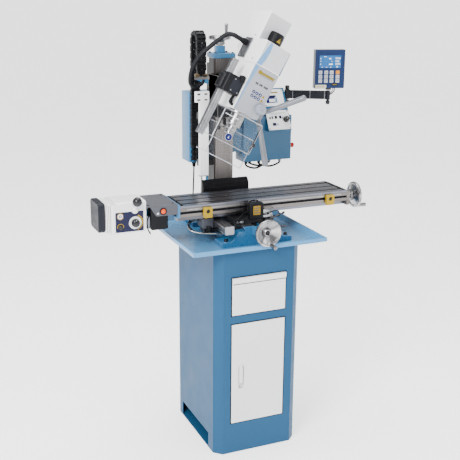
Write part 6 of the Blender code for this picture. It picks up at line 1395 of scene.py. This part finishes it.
G1 = dict(fr=-0.130, le=-0.1057, ri=0.084, th=0.0030, bl=-0.020, brt=-0.070)
G2 = dict(fr=-0.125, le=-0.1009, ri=0.079, th=0.0030, bl=-0.025, brt=-0.075)
hp_("guard_sheet", sheet(-0.2060, -0.0750, **G1), m_clear, "guard", ["guard_shield"], angle=30)
hp_("guard_sheet_low", sheet(-0.2740, -0.1450, **G2), m_clear2, "guard_slider", ["guard_slider"], angle=30)
# whitish rims on the sheets' cut edges: partly their own edge, partly painted highlight
for nm, s0, s1, G_, bd in (("top", -0.0775, -0.0748, dict(G1, th=0.0032), "guard"), ("mid", -0.2062, -0.2042, dict(G1, th=0.0032), "guard"), ("low", -0.2742, -0.2716, dict(G2, th=0.0032), "guard_slider"), ("lowtop", -0.1464, -0.1448, dict(G2, th=0.0032), "guard_slider")):
    hp_("guard_edge_" + nm, sheet(s0, s1, **G_), m_cedge_glint, bd, angle=30)
hp_("guard_edge_dark", sheet(-0.0790, -0.0778, **dict(G1, fr=-0.1302, le=-0.1059, ri=0.0842, th=0.0034)), m_plate, "guard", angle=30)
# whitish rods at the rounded corners: painted highlight on the sheet's bends
for nm, x_, y_, s0, s1, bd in (("l", -0.1051, -0.1240, -0.205, -0.076, "guard"), ("r", 0.0806, -0.1240, -0.205, -0.076, "guard"), ("sl", -0.1003, -0.1200, -0.273, -0.146, "guard_slider"), ("sr", 0.0758, -0.1200, -0.273, -0.146, "guard_slider")):
    hp_("guard_corner_highlight_" + nm, cyl((x_ + 0.0014, y_ - 0.0024, s0), (x_ + 0.0014, y_ - 0.0024, s1), 0.0016, steps=12), m_cedge_glint, bd)
# thin dark rods along the bends and the left wall: painted shade lines
for nm, x_, y_, s0, s1, bd in (("l", -0.1012, -0.1296, -0.205, -0.076, "guard"), ("r", 0.0796, -0.1296, -0.205, -0.076, "guard"), ("bl", -0.1053, -0.1200, -0.205, -0.076, "guard"), ("sl", -0.0970, -0.1246, -0.273, -0.146, "guard_slider"), ("sr", 0.0750, -0.1246, -0.273, -0.146, "guard_slider")):
    hp_("guard_shade_line_" + nm, cyl((x_, y_, s0), (x_, y_, s1), 0.0009, steps=8), m_plate, bd)
for nm, s_, G_, bd in (("a", -0.2036, G1, "guard"), ("b", -0.2710, G2, "guard_slider"), ("c", -0.0830, G1, "guard")):
    hp_("guard_shade_" + nm, sheet(s_, s_ + 0.0010, **dict(G_, fr=G_["fr"] - 0.0001, le=G_["le"] - 0.0001, ri=G_["ri"] + 0.0001, th=0.0032)), m_plate, bd, angle=30)
for nm, v_, s0, s1 in (("l", -0.0990, -0.1900, -0.0950), ("r", 0.0770, -0.1900, -0.0950)):
    hp_("guard_slot_" + nm, prism(rounded(v_ - 0.0022, s0, v_ + 0.0022, s1, 0.0021, 4), -0.1306, -0.1296, "XZ"), m_pblack, "guard")
    hp_("guard_knob_" + nm, lathe([(0, 0.0150), (0.0060, 0.0148), (0.0085, 0.0125), (0.0090, 0.0060), (0.0070, 0.0030), (0.0045, 0.0), (0, 0)], (v_, -0.1302, -0.1640), (0, -1, 0), 10), m_knob, "guard", angle=30)
# whitish strip on the front: the slot drawn in the edge material, partly painted highlight
hp_("guard_slot_front", prism(rounded(-0.0988, -0.1000, -0.0300, -0.0960, 0.0019, 4), -0.1306, -0.1296, "XZ"), m_cedge_glint, "guard")
hp_("guard_sign", lathe([(0, 0.0006), (0.0160, 0.0006), (0.0160, 0), (0, 0)], (-0.0370, -0.1302, -0.1790), (0, -1, 0), 40), m_pwhite, "guard")
hp_("guard_sign_blue", lathe([(0, 0.0005), (0.0152, 0.0005), (0.0152, 0), (0, 0)], (-0.0370, -0.1307, -0.1790), (0, -1, 0), 40), m_pblue, "guard")
hp_("guard_sign_mark", join(lathe([(0, 0.0004), (0.0015, 0.0004), (0.0015, 0), (0, 0)], (-0.0370, -0.1312, -0.1766), (0, -1, 0), 20), prism([(-0.0396, -0.1838), (-0.0344, -0.1838), (-0.0350, -0.1808), (-0.0361, -0.1796), (-0.0379, -0.1796), (-0.0390, -0.1808)], -0.1316, -0.1311, "XZ")), m_pwhite, "guard")
for i, s_ in enumerate((-0.1000, -0.1850)):
    hp_("guard_clip_%d" % i, box((-0.1100, -0.0440, s_), (-0.1040, -0.0220, s_ + 0.0160)), m_plate, "guard", bevel=0.001, seg=2)
    hp_("guard_clip_screw_%d" % i, lathe([(0, 0.0012), (0.0034, 0.0010), (0.0040, 0), (0, 0)], (-0.1029, -0.0330, s_ + 0.008), (1, 0, 0), 20), m_steel, "guard")



# ------------------------------------------------------- floor, light, camera
bm = bmesh.new()
bmesh.ops.create_grid(bm, x_segments=24, y_segments=24, size=1.0)
for v in bm.verts:
    v.co = Vector((v.co.x * 110, v.co.y * 110 + 60, -0.0006))
floor = bpy.data.objects.new("floor", to_mesh(bm, "floor"))
bpy.context.scene.collection.objects.link(floor)
s = Mat("floor_pale").set(Specular_IOR_Level=0.2, Emission_Color=(1.0, 1.0, 1.0, 1.0), Emission_Strength=1.30)
c = s.mix(s.ramp(s.noise(1.5, 4), 0.3, 0.7), (0.90, 0.90, 0.905), (0.93, 0.93, 0.93))
s.bump(s.noise(60.0, 3), 0.02, 0.001)
floor.data.materials.append(s.done(c, s.ramp(s.noise(5.0, 3), 0.3, 0.7, 0.65, 0.8)))

world = bpy.data.worlds.new("studio")
bpy.context.scene.world = world
world.use_nodes = True
bg = world.node_tree.nodes["Background"]
bg.inputs["Color"].default_value = (1.0, 1.0, 1.0, 1.0)
bg.inputs["Strength"].default_value = 1.0
# pale at the horizon, a darker band above it and a bright ceiling, so metal has something to mirror
wt = world.node_tree
w_co = wt.nodes.new("ShaderNodeTexCoord")
w_sep = wt.nodes.new("ShaderNodeSeparateXYZ")
w_ramp = wt.nodes.new("ShaderNodeValToRGB")
wt.links.new(w_co.outputs["Generated"], w_sep.inputs[0])
wt.links.new(w_sep.outputs["Z"], w_ramp.inputs["Fac"])
wt.links.new(w_ramp.outputs["Color"], bg.inputs["Color"])
w_ramp.color_ramp.elements[0].position = 0.0
w_ramp.color_ramp.elements[0].color = (2.7, 2.7, 2.7, 1.0)
w_ramp.color_ramp.elements[1].position = 1.0
w_ramp.color_ramp.elements[1].color = (1.7, 1.7, 1.7, 1.0)
for w_at, w_v in ((0.05, 2.70), (0.16, 0.60), (0.26, 0.40), (0.52, 0.40), (0.72, 1.5)):
    e_ = w_ramp.color_ramp.elements.new(w_at)
    e_.color = (w_v, w_v, w_v * 1.01, 1.0)


def area(name, pos, aim, size, power, colour=(1, 1, 1)):
    li = bpy.data.lights.new(name, "AREA")
    li.shape = "RECTANGLE"
    li.size, li.size_y = size
    li.energy = power
    li.color = colour
    o = bpy.data.objects.new(name, li)
    o.location = pos
    o.rotation_euler = (Vector(aim) - Vector(pos)).to_track_quat("-Z", "Y").to_euler()
    bpy.context.scene.collection.objects.link(o)


area("key", (-2.6, -2.2, 3.4), (0, 0, 1.0), (1.5, 1.5), 290)
area("fill", (2.8, -2.6, 2.2), (0, 0, 1.0), (1.4, 1.8), 34)
area("top", (0.2, 0.6, 4.2), (0, 0, 1.0), (2.0, 2.0), 110)

cam_data = bpy.data.cameras.new("camera")
cam_data.sensor_width = 36.0
cam_data.lens = 67.9
cam_data.shift_x = 0.0130
cam_data.shift_y = 0.0004
cam_data.clip_end = 600.0
cam = bpy.data.objects.new("camera", cam_data)
yaw, pitch, roll = math.radians(23.07), math.radians(16.26), math.radians(0.35)
fwd = Vector((math.sin(yaw) * math.cos(pitch), math.cos(yaw) * math.cos(pitch), -math.sin(pitch)))
right = Vector((math.cos(yaw), -math.sin(yaw), 0))
upv = right.cross(fwd)
right, upv = (right * math.cos(roll) + upv * math.sin(roll)), (upv * math.cos(roll) - right * math.sin(roll))
R = Matrix((right, upv, -fwd)).transposed().to_4x4()
cam.matrix_world = Matrix.Translation((-1.481, -3.337, 2.004)) @ R
bpy.context.scene.collection.objects.link(cam)
bpy.context.scene.camera = cam
